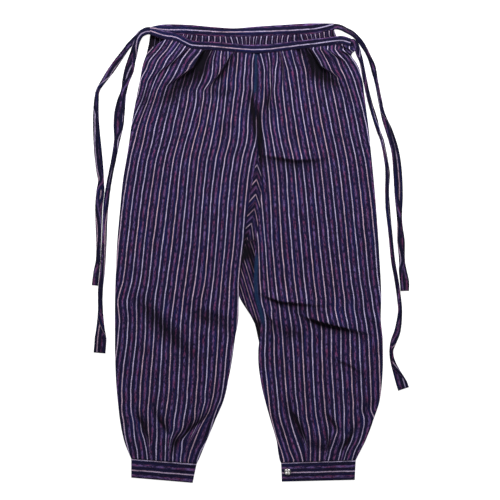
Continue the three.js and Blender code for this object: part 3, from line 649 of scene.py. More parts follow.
class Nodes:
    """Adds nodes to a material in a few words."""

    def __init__(self, name):
        self.material = bpy.data.materials.new(name)
        self.material.use_nodes = True
        self.tree = self.material.node_tree
        self.shader = self.tree.nodes["Principled BSDF"]

    def add(self, kind, **settings):
        node = self.tree.nodes.new(kind)
        for key, value in settings.items():
            setattr(node, key, value)
        return node

    def put(self, socket, value):
        if isinstance(value, bpy.types.NodeSocket):
            self.tree.links.new(value, socket)
        else:
            socket.default_value = value

    def math(self, operation, *values):
        node = self.add("ShaderNodeMath", operation=operation)
        for socket, value in zip(node.inputs, values):
            self.put(socket, value)
        return node.outputs[0]

    def step(self, low, high, value, start=0.0, end=1.0):
        node = self.add("ShaderNodeMapRange", interpolation_type="SMOOTHSTEP")
        for socket, item in zip(node.inputs, (value, low, high, start, end)):
            self.put(socket, item)
        return node.outputs[0]

    def blend(self, factor, a, b, kind="MIX"):
        node = self.add("ShaderNodeMix", data_type="RGBA", blend_type=kind)
        self.put(node.inputs["Factor"], factor)
        self.put(node.inputs[6], a)
        self.put(node.inputs[7], b)
        return node.outputs[2]

    def noise(self, vector, scale=1.0, detail=2.0, roughness=0.5):
        node = self.add("ShaderNodeTexNoise")
        self.put(node.inputs["Vector"], vector)
        node.inputs["Scale"].default_value = scale
        node.inputs["Detail"].default_value = detail
        node.inputs["Roughness"].default_value = roughness
        return node.outputs["Fac"]

    def stretched(self, u, v, across, along, seed):
        """Places scaled across the grain and along it, for noise drawn out along the threads."""
        node = self.add("ShaderNodeCombineXYZ")
        self.put(node.inputs[0], self.math("MULTIPLY", u, across))
        self.put(node.inputs[1], self.math("MULTIPLY", v, along))
        node.inputs[2].default_value = seed
        return node.outputs[0]


# %% Colours and widths of the stripes
# DARK is the slubs' own colour, and also the painted shade of the deepest dips
DARK = colour(9, 6, 16)
DIM = colour(100, 84, 100)  # painted shade: what a dip's cloth is multiplied by
TEALS = (colour(18, 34, 70), colour(26, 56, 92))
LILAC = (colour(212, 198, 238), colour(220, 186, 210))
PINKISH = (colour(200, 178, 206), colour(200, 160, 180))
PURPLES = (colour(116, 94, 154), colour(128, 66, 112))
NAVIES = (colour(11, 8, 36), colour(26, 23, 63), colour(18, 28, 88))

# Distances are shares of a stripe's period
LIGHT_EDGE = (0.025, 0.075)  # from the light line's middle, where it starts to fade and ends
BAND_EDGE = (0.045, 0.175)  # the same for the purple band
WAVER = 0.15
FRAY = 0.05
THREADS = 34  # threads in one period
WEAVE_STRENGTH = 0.35
WEAVE_DEPTH = 0.0003  # in metres
print("light stripe, mm wide:", round(sum(LIGHT_EDGE) * PERIOD, 2),
      "purple band, mm wide:", round(sum(BAND_EDGE) * PERIOD, 2))


# %% The striped cotton
def striped_cotton(name, light, purple, ground, seed):
    n = Nodes(name)
    uv = n.add("ShaderNodeUVMap", uv_map="cloth")
    split = n.add("ShaderNodeSeparateXYZ")
    n.put(split.inputs[0], uv.outputs[0])
    u, v = split.outputs[0], split.outputs[1]

    def specks(across, along, shift, detail=2.0, roughness=0.5):
        """Noise with about so many specks to a period, across the grain and along it."""
        places = n.stretched(u, v, across, along, seed + shift)
        return n.noise(places, detail=detail, roughness=roughness)

    def about_zero(value, size):
        return n.math("MULTIPLY", n.math("SUBTRACT", value, 0.5), size)

    def from_whole(value):
        """Distance from the nearest whole number."""
        return n.math("ABSOLUTE", n.math("SUBTRACT", value, n.math("ROUND", value)))

    # the stripes, wavering and frayed
    wavy = n.math("ADD", u, about_zero(specks(0.5, 0.55, 7.1, 3.0), WAVER))
    place = n.math("ADD", wavy, about_zero(specks(9, 30, 3.3), FRAY))
    line = n.step(*LIGHT_EDGE, from_whole(place), 1.0, 0.0)
    band = n.step(*BAND_EDGE, from_whole(n.math("SUBTRACT", place, 0.5)), 1.0, 0.0)

    # worn places in the light line, and dashes in the purple band
    worn = specks(3, 1.4, 1.7, 3.0)
    line = n.math("MULTIPLY", line, n.step(0.25, 0.65, worn, 0.5, 1.0))
    long_dashes = n.math("MULTIPLY", specks(5.5, 0.7, 0), 0.35)
    short_dashes = n.math("MULTIPLY", specks(9, 2.6, 5, 3.0, 0.6), 0.65)
    dashes = n.math("ADD", long_dashes, short_dashes)
    band = n.math("MULTIPLY", band, n.step(0.42, 0.58, dashes, 0.03, 1.0))

    # the navy ground, streaked along the grain
    streaks = specks(13, 0.6, 23, 4.0, 0.65)
    blue = specks(6, 0.25, 31)
    base = n.blend(n.step(0.36, 0.66, streaks), ground[0], ground[1])
    base = n.blend(n.step(0.5, 0.72, blue, 0.0, 0.75), base, ground[2])

    # colours laid over one another
    wine = specks(7, 0.8, 11, 3.0)
    tint = specks(1.3, 0.11, 17)
    selvedge = n.add("ShaderNodeAttribute", attribute_name="selvedge").outputs["Fac"]
    cloth = n.blend(band, base, n.blend(n.step(0.42, 0.6, wine), *purple))
    cloth = n.blend(line, cloth, n.blend(n.step(0.42, 0.6, tint), *light))
    cloth = n.blend(selvedge, cloth, n.blend(n.step(0.35, 0.65, streaks), *TEALS))

    # slubs, lint and the painted shade of the dips
    slub = specks(24, 7, 41, 3.0, 0.7)
    lint = specks(9, 5, 61, 3.0, 0.75)
    shade = n.add("ShaderNodeAttribute", attribute_name="shade").outputs["Fac"]
    cloth = n.blend(n.step(0.36, 0.62, slub, 0.0, 0.48), cloth, DARK)
    cloth = n.blend(n.step(0.56, 0.8, lint, 0.0, 0.13), cloth, light[1])
    cloth = n.blend(n.math("MINIMUM", shade, 1.0), cloth, DIM, "MULTIPLY")
    cloth = n.blend(n.step(0.9, 1.6, shade, 0.0, 0.95), cloth, DARK)
    n.put(n.shader.inputs["Base Color"], cloth)

    # threads and fuzz
    warp = n.math("SINE", n.math("MULTIPLY", u, THREADS * 2 * math.pi))
    weft = n.math("SINE", n.math("MULTIPLY", v, THREADS * 2 * math.pi))
    weave = n.math("MULTIPLY", n.math("MULTIPLY", warp, weft), 0.5)
    fuzz = specks(16, 16, 53, 3.0)
    bump = n.add("ShaderNodeBump")
    bump.inputs["Strength"].default_value = WEAVE_STRENGTH
    bump.inputs["Distance"].default_value = WEAVE_DEPTH
    n.put(bump.inputs["Height"], n.math("ADD", weave, n.math("MULTIPLY", fuzz, 1.4)))
    n.put(n.shader.inputs["Normal"], bump.outputs[0])
    n.put(n.shader.inputs["Roughness"], n.step(0.3, 0.7, fuzz, 0.8, 0.94))
    n.shader.inputs["Specular IOR Level"].default_value = 0.08
    n.shader.inputs["Sheen Weight"].default_value = 0.02
    n.shader.inputs["Sheen Roughness"].default_value = 0.6
    return n.material


leg_cotton = striped_cotton("striped_cotton", LILAC, PURPLES, NAVIES, 2.0)
band_cotton = striped_cotton("band_cotton", LILAC, PURPLES, NAVIES, 5.5)
gusset_cotton = striped_cotton("gusset_cotton", PINKISH, PURPLES, NAVIES, 9.2)
print("materials:", leg_cotton.name, band_cotton.name, gusset_cotton.name)

# %% [markdown]
# ## The front panels
#
# A front panel hangs from the band's lower seam and ends at the cuff's upper seam, so its rows
# of points are level between and bend to those seams at both ends. The rows are closer
# together at the waist, where the pleats are. At its side edges the cloth turns down to the
# back panel. One grid for the whole panel, rather than a strip for each pleat, keeps the cloth
# in one piece, as it is on the real trousers.

# %% Grid of a leg panel
FRONT_COLUMNS = 224
WAIST_DEPTH = 130
WAIST_ROWS = 112
LEG_ROWS = 248


def panel_rows(top, bottom):
    """Levels of the rows from the waist down, closer together where the pleats are."""
    waist = np.linspace(top, top - WAIST_DEPTH, WAIST_ROWS + 1)
    leg = np.linspace(top - WAIST_DEPTH, bottom, LEG_ROWS + 1)
    return np.concatenate([waist, leg[1:]])


def panel_places(edges, places, columns, waist_seam, ankle_seam):
    """x and y of a panel's grid, rows from the waist down, columns from left to right."""
    left, right = reader(edges, "y", "left"), reader(edges, "y", "right")
    top, bottom = places[0], places[-1]
    u = np.linspace(0, 1, columns + 1)[None, :]
    v = ((top - places) / (top - bottom))[:, None]

    def level(across):
        waist = waist_seam(mix(left(top), right(top), across))
        ankle = ankle_seam(mix(left(bottom), right(bottom), across))
        return mix(waist, ankle, v)

    x = mix(left(level(0.0)), right(level(1.0)), u)
    return x, level(u), np.broadcast_to(u, x.shape)


def edge_distance(x, y):
    """Distance of each grid point from the panel's side edges and from its top and bottom."""
    side = np.minimum(x - x[:, :1], x[:, -1:] - x)
    end = np.minimum(y[:1, :] - y, y - y[-1:, :])
    return side, end


print("points on a front panel:", (WAIST_ROWS + LEG_ROWS + 1) * (FRONT_COLUMNS + 1))

# %% Front panels
CLOTH = 1.0  # thickness of the cotton with its little puffiness
THIN_EDGE = 0.45  # share of the thickness that is left at a side edge
THIN_REACH = 3  # how far in from a side edge the cloth is thinner
SETTLE_SIDE = 6  # how far in from a side edge the relief settles
SETTLE_END = 5  # the same, from the band and from the cuff
EDGE_DROP = 0.5  # how much a side edge turns down
EDGE_REACH = 4
SEAM_SHADE = 0.35  # painted shade beside the band and the cuff
SEAM_REACH = 4
LEG_FLOOR = 1.75  # height of the back panel that the front rests on
DEEPEST = 1.6  # the darkest painted shade that the cotton reads
WORN = 0.55  # how high the cloth's own unevenness stands


def thickness(side):
    """The cloth is thinner where it turns down at a side edge."""
    return CLOTH * mix(THIN_EDGE, 1, smooth(0, THIN_REACH, side))


def worn_waves(x, y):
    """Slow swells and small ripples of cotton that has been worn and washed."""
    swells = 0.5 * np.sin(x / 9.3 + y / 47) * np.sin(y / 31 - x / 58)
    return WORN * (swells + 0.35 * np.sin(x / 5.1 - y / 23))


def front_panel(name, edges, folds, hand, stripes, corners, teal_at):
    """hand is 1 where the stripe numbers rise to the right and -1 where they fall."""
    places = panel_rows(edges["y"].max(), edges["y"].min())
    x, y, u = panel_places(edges, places, FRONT_COLUMNS, band_seam(BAND_FRONT), cuff_seam(corners))
    rest = mix(reader(edges, "y", "left_lift")(y), reader(edges, "y", "right_lift")(y), u)
    rest = rest + reader(edges, "y", "crown")(y) * 4 * u * (1 - u)
    rise, step, shade = fold_shape(folds, hand, x, y)
    side, end = edge_distance(x, y)
    settle = smooth(0, SETTLE_SIDE, side) * smooth(0, SETTLE_END, end)
    floor = np.minimum(rest, LEG_FLOOR)
    z = np.maximum(rest + (rise + worn_waves(x, y)) * settle, floor)
    turned_down = EDGE_DROP * (1 - smooth(0, EDGE_REACH, side))
    upper = np.stack([x, y, z + thickness(side) - turned_down], axis=-1)
    uv = np.stack([stripes(x, y) + step, y / PERIOD], axis=-1)
    # painted shade: the folds' dips, and a strip beside the band and the cuff
    shade = np.clip(shade + SEAM_SHADE * (1 - smooth(0, SEAM_REACH, end)), 0, DEEPEST)
    return cloth_shell(name, upper, floor, CLOTH, uv, shade, teal_at(x, y, x[:, :1], x[:, -1:]))


def right_teal(x, y, left, right):
    """The blue selvedge on the right panel's seam side, from the band down."""
    return smooth(right - 6, right - 4, x) * smooth(314, 326, y)


def left_teal(x, y, left, right):
    """The blue selvedge on the left panel's inner edge, below the crotch."""
    return smooth(left + 9, left + 6, x) * smooth(4, -14, y) * smooth(-150, -130, y)


front_right = front_panel("front_right_cloth", FRONT_RIGHT, FOLDS_RIGHT, hand=-1,
                          stripes=leg_stripes(THIGH_RIGHT, ANKLE_RIGHT),
                          corners=CUFF_RIGHT, teal_at=right_teal)
front_left = front_panel("front_left_cloth", FRONT_LEFT, FOLDS_LEFT, hand=1,
                         stripes=leg_stripes(THIGH_LEFT, ANKLE_LEFT),
                         corners=CUFF_LEFT, teal_at=left_teal)

# %% [markdown]
# ## The back panels
#
# The back lies on the floor. It is fuller than the front and is gathered into the back band in
# small waves, which show above the front band. A cosine across the panel gives as many waves as
# the photo shows, and a few slow sines lean and crowd them, so that no two are quite alike.
# Lower down the back is nearly flat, with a few soft ridges of its own, and its stripes run
# evenly and draw together at the cuff.

# %% Soft ridges of the back
BACK_FOLDS = table(FOLD, [
    (-200, 330, -180, 250, -196, 160, 1.0, 12, 14, 0, 0, 0, 0),
    (-90, 300, -110, 200, -96, 90, 0.9, 14, 12, 0, 0, 0, 0),
    (-240, -90, -190, -120, -120, -110, 1.1, 10, 12, 0, 0, 0, 0),
    (-160, -230, -140, -270, -150, -320, 0.9, 10, 10, 0, 0, 0, 0),
    (-120, -30, -90, -60, -50, -64, 1.0, 9, 11, 0, 0, 0, 0),
    (90, 320, 110, 220, 98, 120, 1.0, 14, 12, 0, 0, 0, 0),
    (190, 280, 206, 200, 196, 110, 0.9, 12, 12, 0, 0, 0, 0),
    (60, -100, 130, -124, 210, -112, 1.1, 12, 10, 0, 0, 0, 0),
    (150, -230, 166, -280, 158, -330, 0.9, 10, 10, 0, 0, 0, 0),
    (100, 40, 130, 10, 180, 4, 1.0, 10, 11, 0, 0, 0, 0),
])
print("ridges of the back:", len(BACK_FOLDS["x1"]))

# %% Back panels
BACK_COLUMNS = 288
BACK_ROWS = 160
GATHER_PITCH = 10.2  # from one gather to the next along the band
GATHER_RISE = 2.4
GATHER_REACH = 55  # how far below the band the gathers run out
LEAN_REACH = 22  # how far below the band the gathers lean aside
UNEVEN_REACH = (20, 90)  # below the band, where the gathers even out
BAND_ENDS = ((-176, -184), (160, 170))  # x where the painted shade beside the ties sets in
BACK_DEEPEST = 1.2


def back_panel(name, edges, corners):
    """Gathers stand under the band, and soft ridges lie further down."""
    places = np.linspace(edges["y"].max(), edges["y"].min(), BACK_ROWS + 1)
    x, y, u = panel_places(edges, places, BACK_COLUMNS, band_seam(BAND_BACK), cuff_seam(corners))
    below = band_seam(BAND_BACK)(x) - y
    at_waist = float(edges["right"][0] - edges["left"][0])
    reached = LEAN_REACH * (1 - np.exp(-below / LEAN_REACH))
    lean = (0.3 * np.sin(x / 27.0) + 0.14 * np.sin(x / 11.3 + 1)) * reached / GATHER_PITCH
    crowd = lean + 0.3 * np.sin(x / 23.0) + 0.12 * np.sin(x / 9.7)
    count = u * at_waist / GATHER_PITCH + crowd * (1 - smooth(*UNEVEN_REACH, below))
    gather = 0.5 - 0.5 * np.cos(2 * math.pi * count)
    near_band = 1 - smooth(0, GATHER_REACH, below)
    height = GATHER_RISE * (0.72 + 0.28 * np.sin(x / 13.0)) * mix(0.2, 1, smooth(0, 7, below))
    ridges, _, _ = fold_shape(BACK_FOLDS, 1, x, y)
    side, _ = edge_distance(x, y)
    rise = (height * gather ** 1.5 * near_band + ridges) * smooth(0, THIN_REACH, side)
    upper = np.stack([x, y, rise + thickness(side)], axis=-1)
    uv = np.stack([count + 0.5, y / PERIOD], axis=-1)
    # painted shade: the hollows of the gathers, the cloth beside the ties' ends, and a little all
    # over, near the band only
    hollow = (1 - gather) ** 1.5 * near_band
    band_ends = sum(smooth(*end, x) for end in BAND_ENDS)
    shade = 0.12 + 0.7 * hollow + 0.75 * band_ends * smooth(60, 20, below)
    shade = np.clip(shade * (below < UNEVEN_REACH[1]), 0, BACK_DEEPEST)
    return cloth_shell(name, upper, np.zeros(x.shape), CLOTH, uv, shade)


back_right = back_panel("back_right_cloth", BACK_RIGHT, CUFF_RIGHT)
back_left = back_panel("back_left_cloth", BACK_LEFT, CUFF_LEFT)

# %% [markdown]
# ## The gusset
#
# Between the legs a gusset gives room to squat. It is cut on the slant in two halves, so the
# stripes of the halves meet in a row of arrowheads. Each half is a plain narrow grid. Its slant
# is in the stripe numbers alone, which is simpler than a grid turned on the bias. Below the
# arrowheads the left half shows steep stripes of the seat.

# %% Edges and slants of the gusset
GUSSET = "y left right"

GUSSET_RIGHT = table(GUSSET, [
    (190, 9, 13.6), (146, 1.5, 11.6), (82, -8, 6.6), (26, -15.5, -8.4), (6, -18, -14.4),
])
GUSSET_LEFT = table(GUSSET, [
    (190, 14.2, 19), (146, 12.2, 25), (82, 7.2, 21.5), (26, -7.8, 15), (6, -13.8, 12.5),
    (-44, -23, 10), (-84, -23, 12), (-114, -7, 19), (-134, 6, 23), (-174, 16, 21),
])
GUSSET_COLUMNS = 24
GUSSET_ROWS = 160
ARROW_TOP = 146  # the first arrowhead's point
ARROW_PITCH = 29  # from one arrowhead down to the next
RIGHT_SLOPE = 1.25  # how steeply a stripe of each half falls away from the middle
LEFT_SLOPE = 2.35
GUSSET_THICK = 1.2
GUSSET_HIGH = 1.3  # upper face over the back panel's
SEAT_TURN = 24  # y where the left half's slanting stripes give way to steep ones
SEAT_SLOPE = 3.2
SEAT_PITCH = 12
SEAT_AT = -5  # x of a light stripe at y = 0
print("arrowheads:", int((ARROW_TOP - SEAT_TURN) / ARROW_PITCH) + 1)


# %% Gusset halves
def gusset_half(name, edges, number_at, shade_at):
    """A narrow grid. Functions give its stripe numbers and its painted shade."""
    y = np.linspace(edges["y"].max(), edges["y"].min(), GUSSET_ROWS + 1)[:, None]
    left, right = reader(edges, "y", "left")(y), reader(edges, "y", "right")(y)
    u = np.linspace(0, 1, GUSSET_COLUMNS + 1)[None, :]
    x = mix(left, right, u)
    y = np.broadcast_to(y, x.shape)
    side, end = edge_distance(x, y)
    puff = 0.45 * np.sin(y / 7.0 + x / 5.0) * smooth(0, 2, side) * smooth(0, 3, end)
    upper = np.stack([x, y, REST + GUSSET_HIGH + puff], axis=-1)
    uv = np.stack([number_at(x, y, left, right), (x - y * 0.5) / PERIOD], axis=-1)
    shade = np.clip(shade_at(x, y, left, right), 0, DEEPEST)
    return cloth_shell(name, upper, np.full(x.shape, REST), GUSSET_THICK, uv, shade)


def right_number(x, y, left, right):
    return (y - ARROW_TOP - (x - right) * RIGHT_SLOPE) / ARROW_PITCH


def left_number(x, y, left, right):
    arrow = (y - ARROW_TOP + (x - left) * LEFT_SLOPE) / ARROW_PITCH
    steep = (x - SEAT_AT + y / SEAT_SLOPE) / SEAT_PITCH
    return np.where(y > SEAT_TURN, arrow, steep)


# painted shade: the gusset lies sunk between the front panels, darker at its edges, lower down, under
# the crotch and beside the blue stripe
def right_shade(x, y, left, right):
    return 0.25 + 0.4 * smooth(left + 5, left, x) + 0.9 * smooth(60, 20, y)


def left_shade(x, y, left, right):
    deep = 1.4 * np.exp(-((y - 1) / 15) ** 2) * smooth(14, -8, x)
    turn = np.exp(-((y - SEAT_TURN) / 7) ** 2)
    inner = 0.8 * smooth(left + 9, left, x) * smooth(20, 0, y)
    seam = 0.4 * smooth(right - 6, right, x) * smooth(20, 60, y)
    beside_teal = 0.8 * np.exp(-((x - 5) / 6) ** 2 - ((y + 24) / 24) ** 2)
    return 0.15 + inner + seam + deep + beside_teal + 0.6 * turn + smooth(-126, -146, y)


gusset_right = gusset_half("gusset_right_cloth", GUSSET_RIGHT, right_number, right_shade)
gusset_left = gusset_half("gusset_left_cloth", GUSSET_LEFT, left_number, left_shade)

# %% [markdown]
# ## The bands
#
# Each band is a strip cut along the stripes and folded over the gathered edge, so a light
# stripe runs along it. It is rounded along both edges, where the fold and the seam are, and
# puckers a little along the seam. The rounding is in the height of the grid, as a Bevel
# modifier would cut across the puckers.

# %% Waistbands
BAND_ACROSS = 20
BAND_ALONG = 400
BAND_THICK = 2.2
BAND_RIM = 0.9  # thickness that is left at the very edge
HEM_INSET = 2.2  # from a folded edge to its row of stitches


def waistband(name, band, light_from_below, ripple):
    """A strip along the waist, with its first rows at the upper edge and its last at the seam."""
    x = np.linspace(band["x"].min(), band["x"].max(), BAND_ALONG + 1)[None, :]
    t = np.linspace(0, 1, BAND_ACROSS + 1)[:, None]
    middle, width = reader(band, "x", "y")(x), reader(band, "x", "width")(x)
    lift = reader(band, "x", "lift")(x)
    y = middle + width * (0.5 - t)
    x = np.broadcast_to(x, y.shape)
    above = width * (1 - t)
    round_off = 1 - (2 * t - 1) ** 6
    pucker = ripple * np.sin(x / 3.4 + 0.8 * np.sin(x / 11)) * smooth(0.35, 1, t)
    stitched = -0.35 * np.exp(-((above - HEM_INSET) / 0.7) ** 2)
    z = lift + BAND_RIM + (BAND_THICK - BAND_RIM) * round_off + (pucker + stitched) * round_off
    upper = np.stack([x, y, z], axis=-1)
    uv = np.stack([(above - light_from_below) / PERIOD, x / PERIOD], axis=-1)
    # painted shade: a little all over, more along the seam and along the folded upper edge
    shade = 0.12 + 0.3 * smooth(3.0, 0.6, above) + 0.2 * smooth(1.5, 0, width - above)
    floor = np.broadcast_to(lift, x.shape)
    return cloth_shell(name, upper, floor, BAND_THICK, uv, np.broadcast_to(shade, x.shape).copy())


band_front = waistband("band_front_cloth", BAND_FRONT, light_from_below=8.0, ripple=0.14)
band_back = waistband("band_back_cloth", BAND_BACK, light_from_below=10.5, ripple=0.2)

# %% [markdown]
# ## The ties
#
# A tie is a flat ribbon about 24 mm wide. Lying loose it folds lengthwise on itself, in two or
# three layers, and opens out flat at its end. A table gives the visible width along its path.
# Where that is less than the ribbon's own width, the rest turns back in a layer on top. So the
# tie is a real ribbon of constant width, folded by a rule, and its cut length can be measured.
# A curve with a flat profile could follow the path, but it couldn't fold.

# %% Paths of the ties
TIE = "x y width lift"
TIE_WIDTH = 24
NARROWEST = 7  # of the visible widths

TIE_FRONT_RIGHT = table(TIE, [
    (-200.4, 442.5, 12, 4.8), (-206.5, 442.5, 12, 4.8), (-212, 440.5, 12, 4.4),
    (-219, 436.5, 12, 4), (-225, 427, 12, 3.6), (-229.5, 415, 13, 3.6), (-232, 405, 14, 2.2),
    (-234.5, 396, 15.5, 0), (-238, 385, 16.5, 0), (-243, 365, 19, 0), (-249, 345, 15, 0),
    (-253, 325, 12, 0), (-258, 305, 17, 0), (-262, 280, 21, 0), (-264, 255, 20, 0),
    (-267, 225, 12, 0), (-274, 185, 9.5, 0), (-282, 145, 9.5, 0), (-288, 105, 10.5, 0),
    (-291, 65, 9.5, 0), (-292.5, 25, 9.5, 0), (-296, -35, 9.5, 0), (-300, -75, 9.5, 0),
    (-300, -115, 10, 0), (-300, -150, 17, 0), (-300, -175, 25, 0), (-302, -200, 25, 0),
])
TIE_BACK_RIGHT = table(TIE, [
    (-200.4, 446, 11, 0), (-207, 446, 11, 0), (-213, 443.5, 11, 0), (-221, 438, 11, 0),
    (-232, 426.5, 10.5, 0), (-243, 415, 10.5, 0), (-252, 403, 10.5, 0), (-265, 385, 12.5, 0),
    (-279, 365, 13, 0), (-293, 345, 10, 0), (-305, 325, 7.5, 0), (-308, 305, 9.5, 0),
    (-309, 275, 11.5, 0), (-308, 245, 13.5, 0), (-305, 205, 15.5, 0), (-301, 165, 14.5, 0),
    (-299, 145, 12, 0), (-300, 124, 16, 0), (-303, 95, 15, 0), (-303.5, 65, 13, 0),
    (-303.5, 25, 10, 0), (-304.5, -12, 9, 0), (-308, -38, 12, 0), (-311, -65, 12.5, 0),
])
TIE_BACK_LEFT = table(TIE, [
    (165.4, 452.6, 12, 0), (172, 452.6, 11, 0), (181, 450.5, 10.5, 0), (192, 445, 10, 0),
    (204, 438.5, 10, 0), (216, 427, 9.5, 0), (225, 415, 9.5, 0), (235, 397, 7.5, 0),
    (243, 378, 10, 0), (247, 363, 10, 0), (251, 345, 7.5, 0), (259, 305, 7.5, 0),
    (263, 285, 8, 0), (269, 265, 11, 0), (277, 245, 14, 0), (289, 205, 15.5, 0),
    (294, 165, 17.5, 0), (296.5, 115, 16.5, 0), (298, 65, 10, 0), (301, 25, 15, 0),
    (303, -15, 12, 0), (304.5, -35, 16, 0), (308, -58, 18.5, 0), (308.5, -76, 17, 0),
])
TIE_FRONT_LEFT = table(TIE, [
    (199.3, 420.4, 15, 4.2), (205, 420.4, 14, 4), (210.5, 415, 12, 3), (214.5, 405, 11.5, 1),
    (217, 396, 10.5, 0), (221, 385, 8.5, 0), (225, 365, 8, 0), (229, 345, 8, 0),
    (238, 305, 8.5, 0), (250, 265, 9, 0), (255.5, 245, 7.5, 0), (263, 225, 7, 0),
    (271, 185, 7.5, 0), (274, 160, 9, 0), (273, 125, 8, 0), (274.5, 90, 9, 0),
    (279, 45, 8, 0), (285, -15, 8, 0), (292, -55, 8, 0), (297.5, -95, 8, 0),
    (299, -118, 8.5, 0), (294, -155, 12.5, 0), (286.5, -176, 12.5, 0), (281.5, -196, 8, 0),
    (284, -215, 9.5, 0), (292, -237, 15, 0), (301.5, -259, 22, 0), (306, -272, 22.5, 0),
])
print("points on the ties' paths:", [len(rows["x"]) for rows in (
    TIE_FRONT_RIGHT, TIE_BACK_RIGHT, TIE_BACK_LEFT, TIE_FRONT_LEFT)])

# %% A path, and a ribbon folded across it
TIE_STEPS = 260
TIE_ACROSS = 48
LAYER = 0.95  # from one layer of a folded tie to the next
TIE_CLOTH = 0.7
TURN_REACH = 1.2  # how near a fold the ribbon starts to climb to the next layer


def tie_path(rows):
    """Smooth path through a tie's rows: place, width and lift at even steps of its length."""
    run = np.concatenate([[0], np.cumsum(np.hypot(np.diff(rows["x"]), np.diff(rows["y"])))])
    s = np.linspace(0, run[-1], TIE_STEPS + 1)
    return s, [reader({"run": run, **rows}, "run", name)(s) for name in TIE.split()]


def ribbon_section(width, a):
    """Place across and layer of a ribbon's point, a millimetres from its edge, when the ribbon
    is folded to and fro to a visible width."""
    turns = a / width
    lap = np.floor(turns)
    part = turns - lap
    across = np.where(lap % 2 == 0, part, 1 - part) * width - width / 2
    near = np.minimum(part, 1 - part) * width
    climb = 0.5 * (1 - np.clip(near / TURN_REACH, 0, 1)) ** 2
    return across, lap + np.where(part < 0.5, np.where(lap > 0, -climb, 0), climb)


layers = ribbon_section(10.0, np.array([0.0, 9.0, 12.0, 23.0]))[1]
print("layers across a ribbon folded to 10 mm:", [round(float(layer), 2) for layer in layers])

# %% Light stripes of the ties
LIGHT = "run at"  # how far along the ribbon, and how far the stripe is from its edge
LIGHTS = {
    "tie_front_right": table(LIGHT, [(0, 18), (50, 18), (120, 7), (160, 17), (230, 17), (270, 8),
                                     (330, 6), (420, 13), (600, 6), (720, 7)]),
    "tie_back_right": table(LIGHT, [(0, 17), (60, 7), (190, 7), (215, 16), (330, 16), (370, 7),
                                    (410, 14), (450, 14), (500, 7), (560, 7)]),
    "tie_back_left": table(LIGHT, [(0, 6), (120, 7), (200, 6), (330, 7), (420, 8), (470, 15),
                                   (560, 14)]),
    "tie_front_left": table(LIGHT, [(0, 8), (60, 17), (110, 7), (250, 6), (440, 8), (480, 16),
                                    (560, 7), (640, 14), (700, 16)]),
}
print("ties with a light stripe:", len(LIGHTS))


# %% Make the ties
def tie(name, rows, lights, mirrored):
    """A folded ribbon along its path. Mirrored, it folds from its other edge."""
    s, (x, y, width, lift) = tie_path(rows)
    width = np.clip(width, NARROWEST, TIE_WIDTH - 0.1)
    dx, dy = np.gradient(x, s), np.gradient(y, s)
    length = np.hypot(dx, dy)
    nx, ny = -dy / length, dx / length
    a = np.linspace(0, TIE_WIDTH, TIE_ACROSS + 1)[None, :]
    across, layer = ribbon_section(width[:, None], a)
    if mirrored:
        across = -across
    px = x[:, None] + nx[:, None] * across
    py = y[:, None] + ny[:, None] * across
    buckle = 0.3 * (1 + np.sin(s / 8.7 + 2 * np.sin(s / 31)))[:, None]
    buckle = buckle * (0.5 - np.abs(across) / width[:, None])
    middle = lift[:, None] + 0.5 + LAYER * layer + buckle * (layer + 0.4)
    centre = np.stack([px, py, middle], axis=-1)
    along = np.gradient(centre, axis=0)
    over = np.gradient(centre, axis=1)
    normal = np.cross(over, along)
    normal /= np.maximum(np.linalg.norm(normal, axis=-1, keepdims=True), 1e-6)
    side_a = centre + normal * TIE_CLOTH / 2
    side_b = centre - normal * TIE_CLOTH / 2
    for side in (side_a, side_b):
        side[..., 2] = np.maximum(side[..., 2], lift[:, None])
    light_at = reader(lights, "run", "at")(s)[:, None]
    uv = np.stack(np.broadcast_arrays((a - light_at) / PERIOD, s[:, None] / PERIOD), axis=-1)
    # painted shade: the tie is dimmed all over, less on its upper layers, and more beside each fold
    beside = np.exp(-((a - np.floor(a / width[:, None]) * width[:, None]) / 1.6) ** 2)
    shade = np.clip(0.42 - 0.08 * layer + 0.3 * beside, 0, 0.85)
    near = np.arange(px.size).reshape(px.shape)
    far = near + px.size
    points = np.concatenate([side_a.reshape(-1, 3), side_b.reshape(-1, 3)])
    faces = grid_faces(near, False) + grid_faces(far, True) + rim_faces(near, far)
    uvs = np.concatenate([uv.reshape(-1, 2)] * 2)
    shades = np.concatenate([shade.ravel()] * 2)
    piece = cloth_object(name, points, faces, uvs, shades)
    print(name, "length mm:", round(float(s[-1])), "triangles:", 2 * len(piece.data.polygons))
    return piece, float(s[-1])


ties = {}
for node, rows, mirrored in (("tie_front_right", TIE_FRONT_RIGHT, False),
                             ("tie_back_right", TIE_BACK_RIGHT, True),
                             ("tie_back_left", TIE_BACK_LEFT, True),
                             ("tie_front_left", TIE_FRONT_LEFT, False)):
    ties[node] = tie(f"{node}_cloth", rows, LIGHTS[node], mirrored)

# %% [markdown]
# ## The ankle cuffs
#
# A cuff is a short band of doubled cloth closed into a ring and pressed flat, so it shows an
# upper and a lower layer with a fold at each end. Its section is a long loop: along the top,
# round the end, back along the bottom. Light stripes run round it. The loop is drawn once as an
# outer wall and once as an inner one, which leaves a true opening for the ankle. A squashed
# cylinder would have round sides where the pressed cloth is flat.

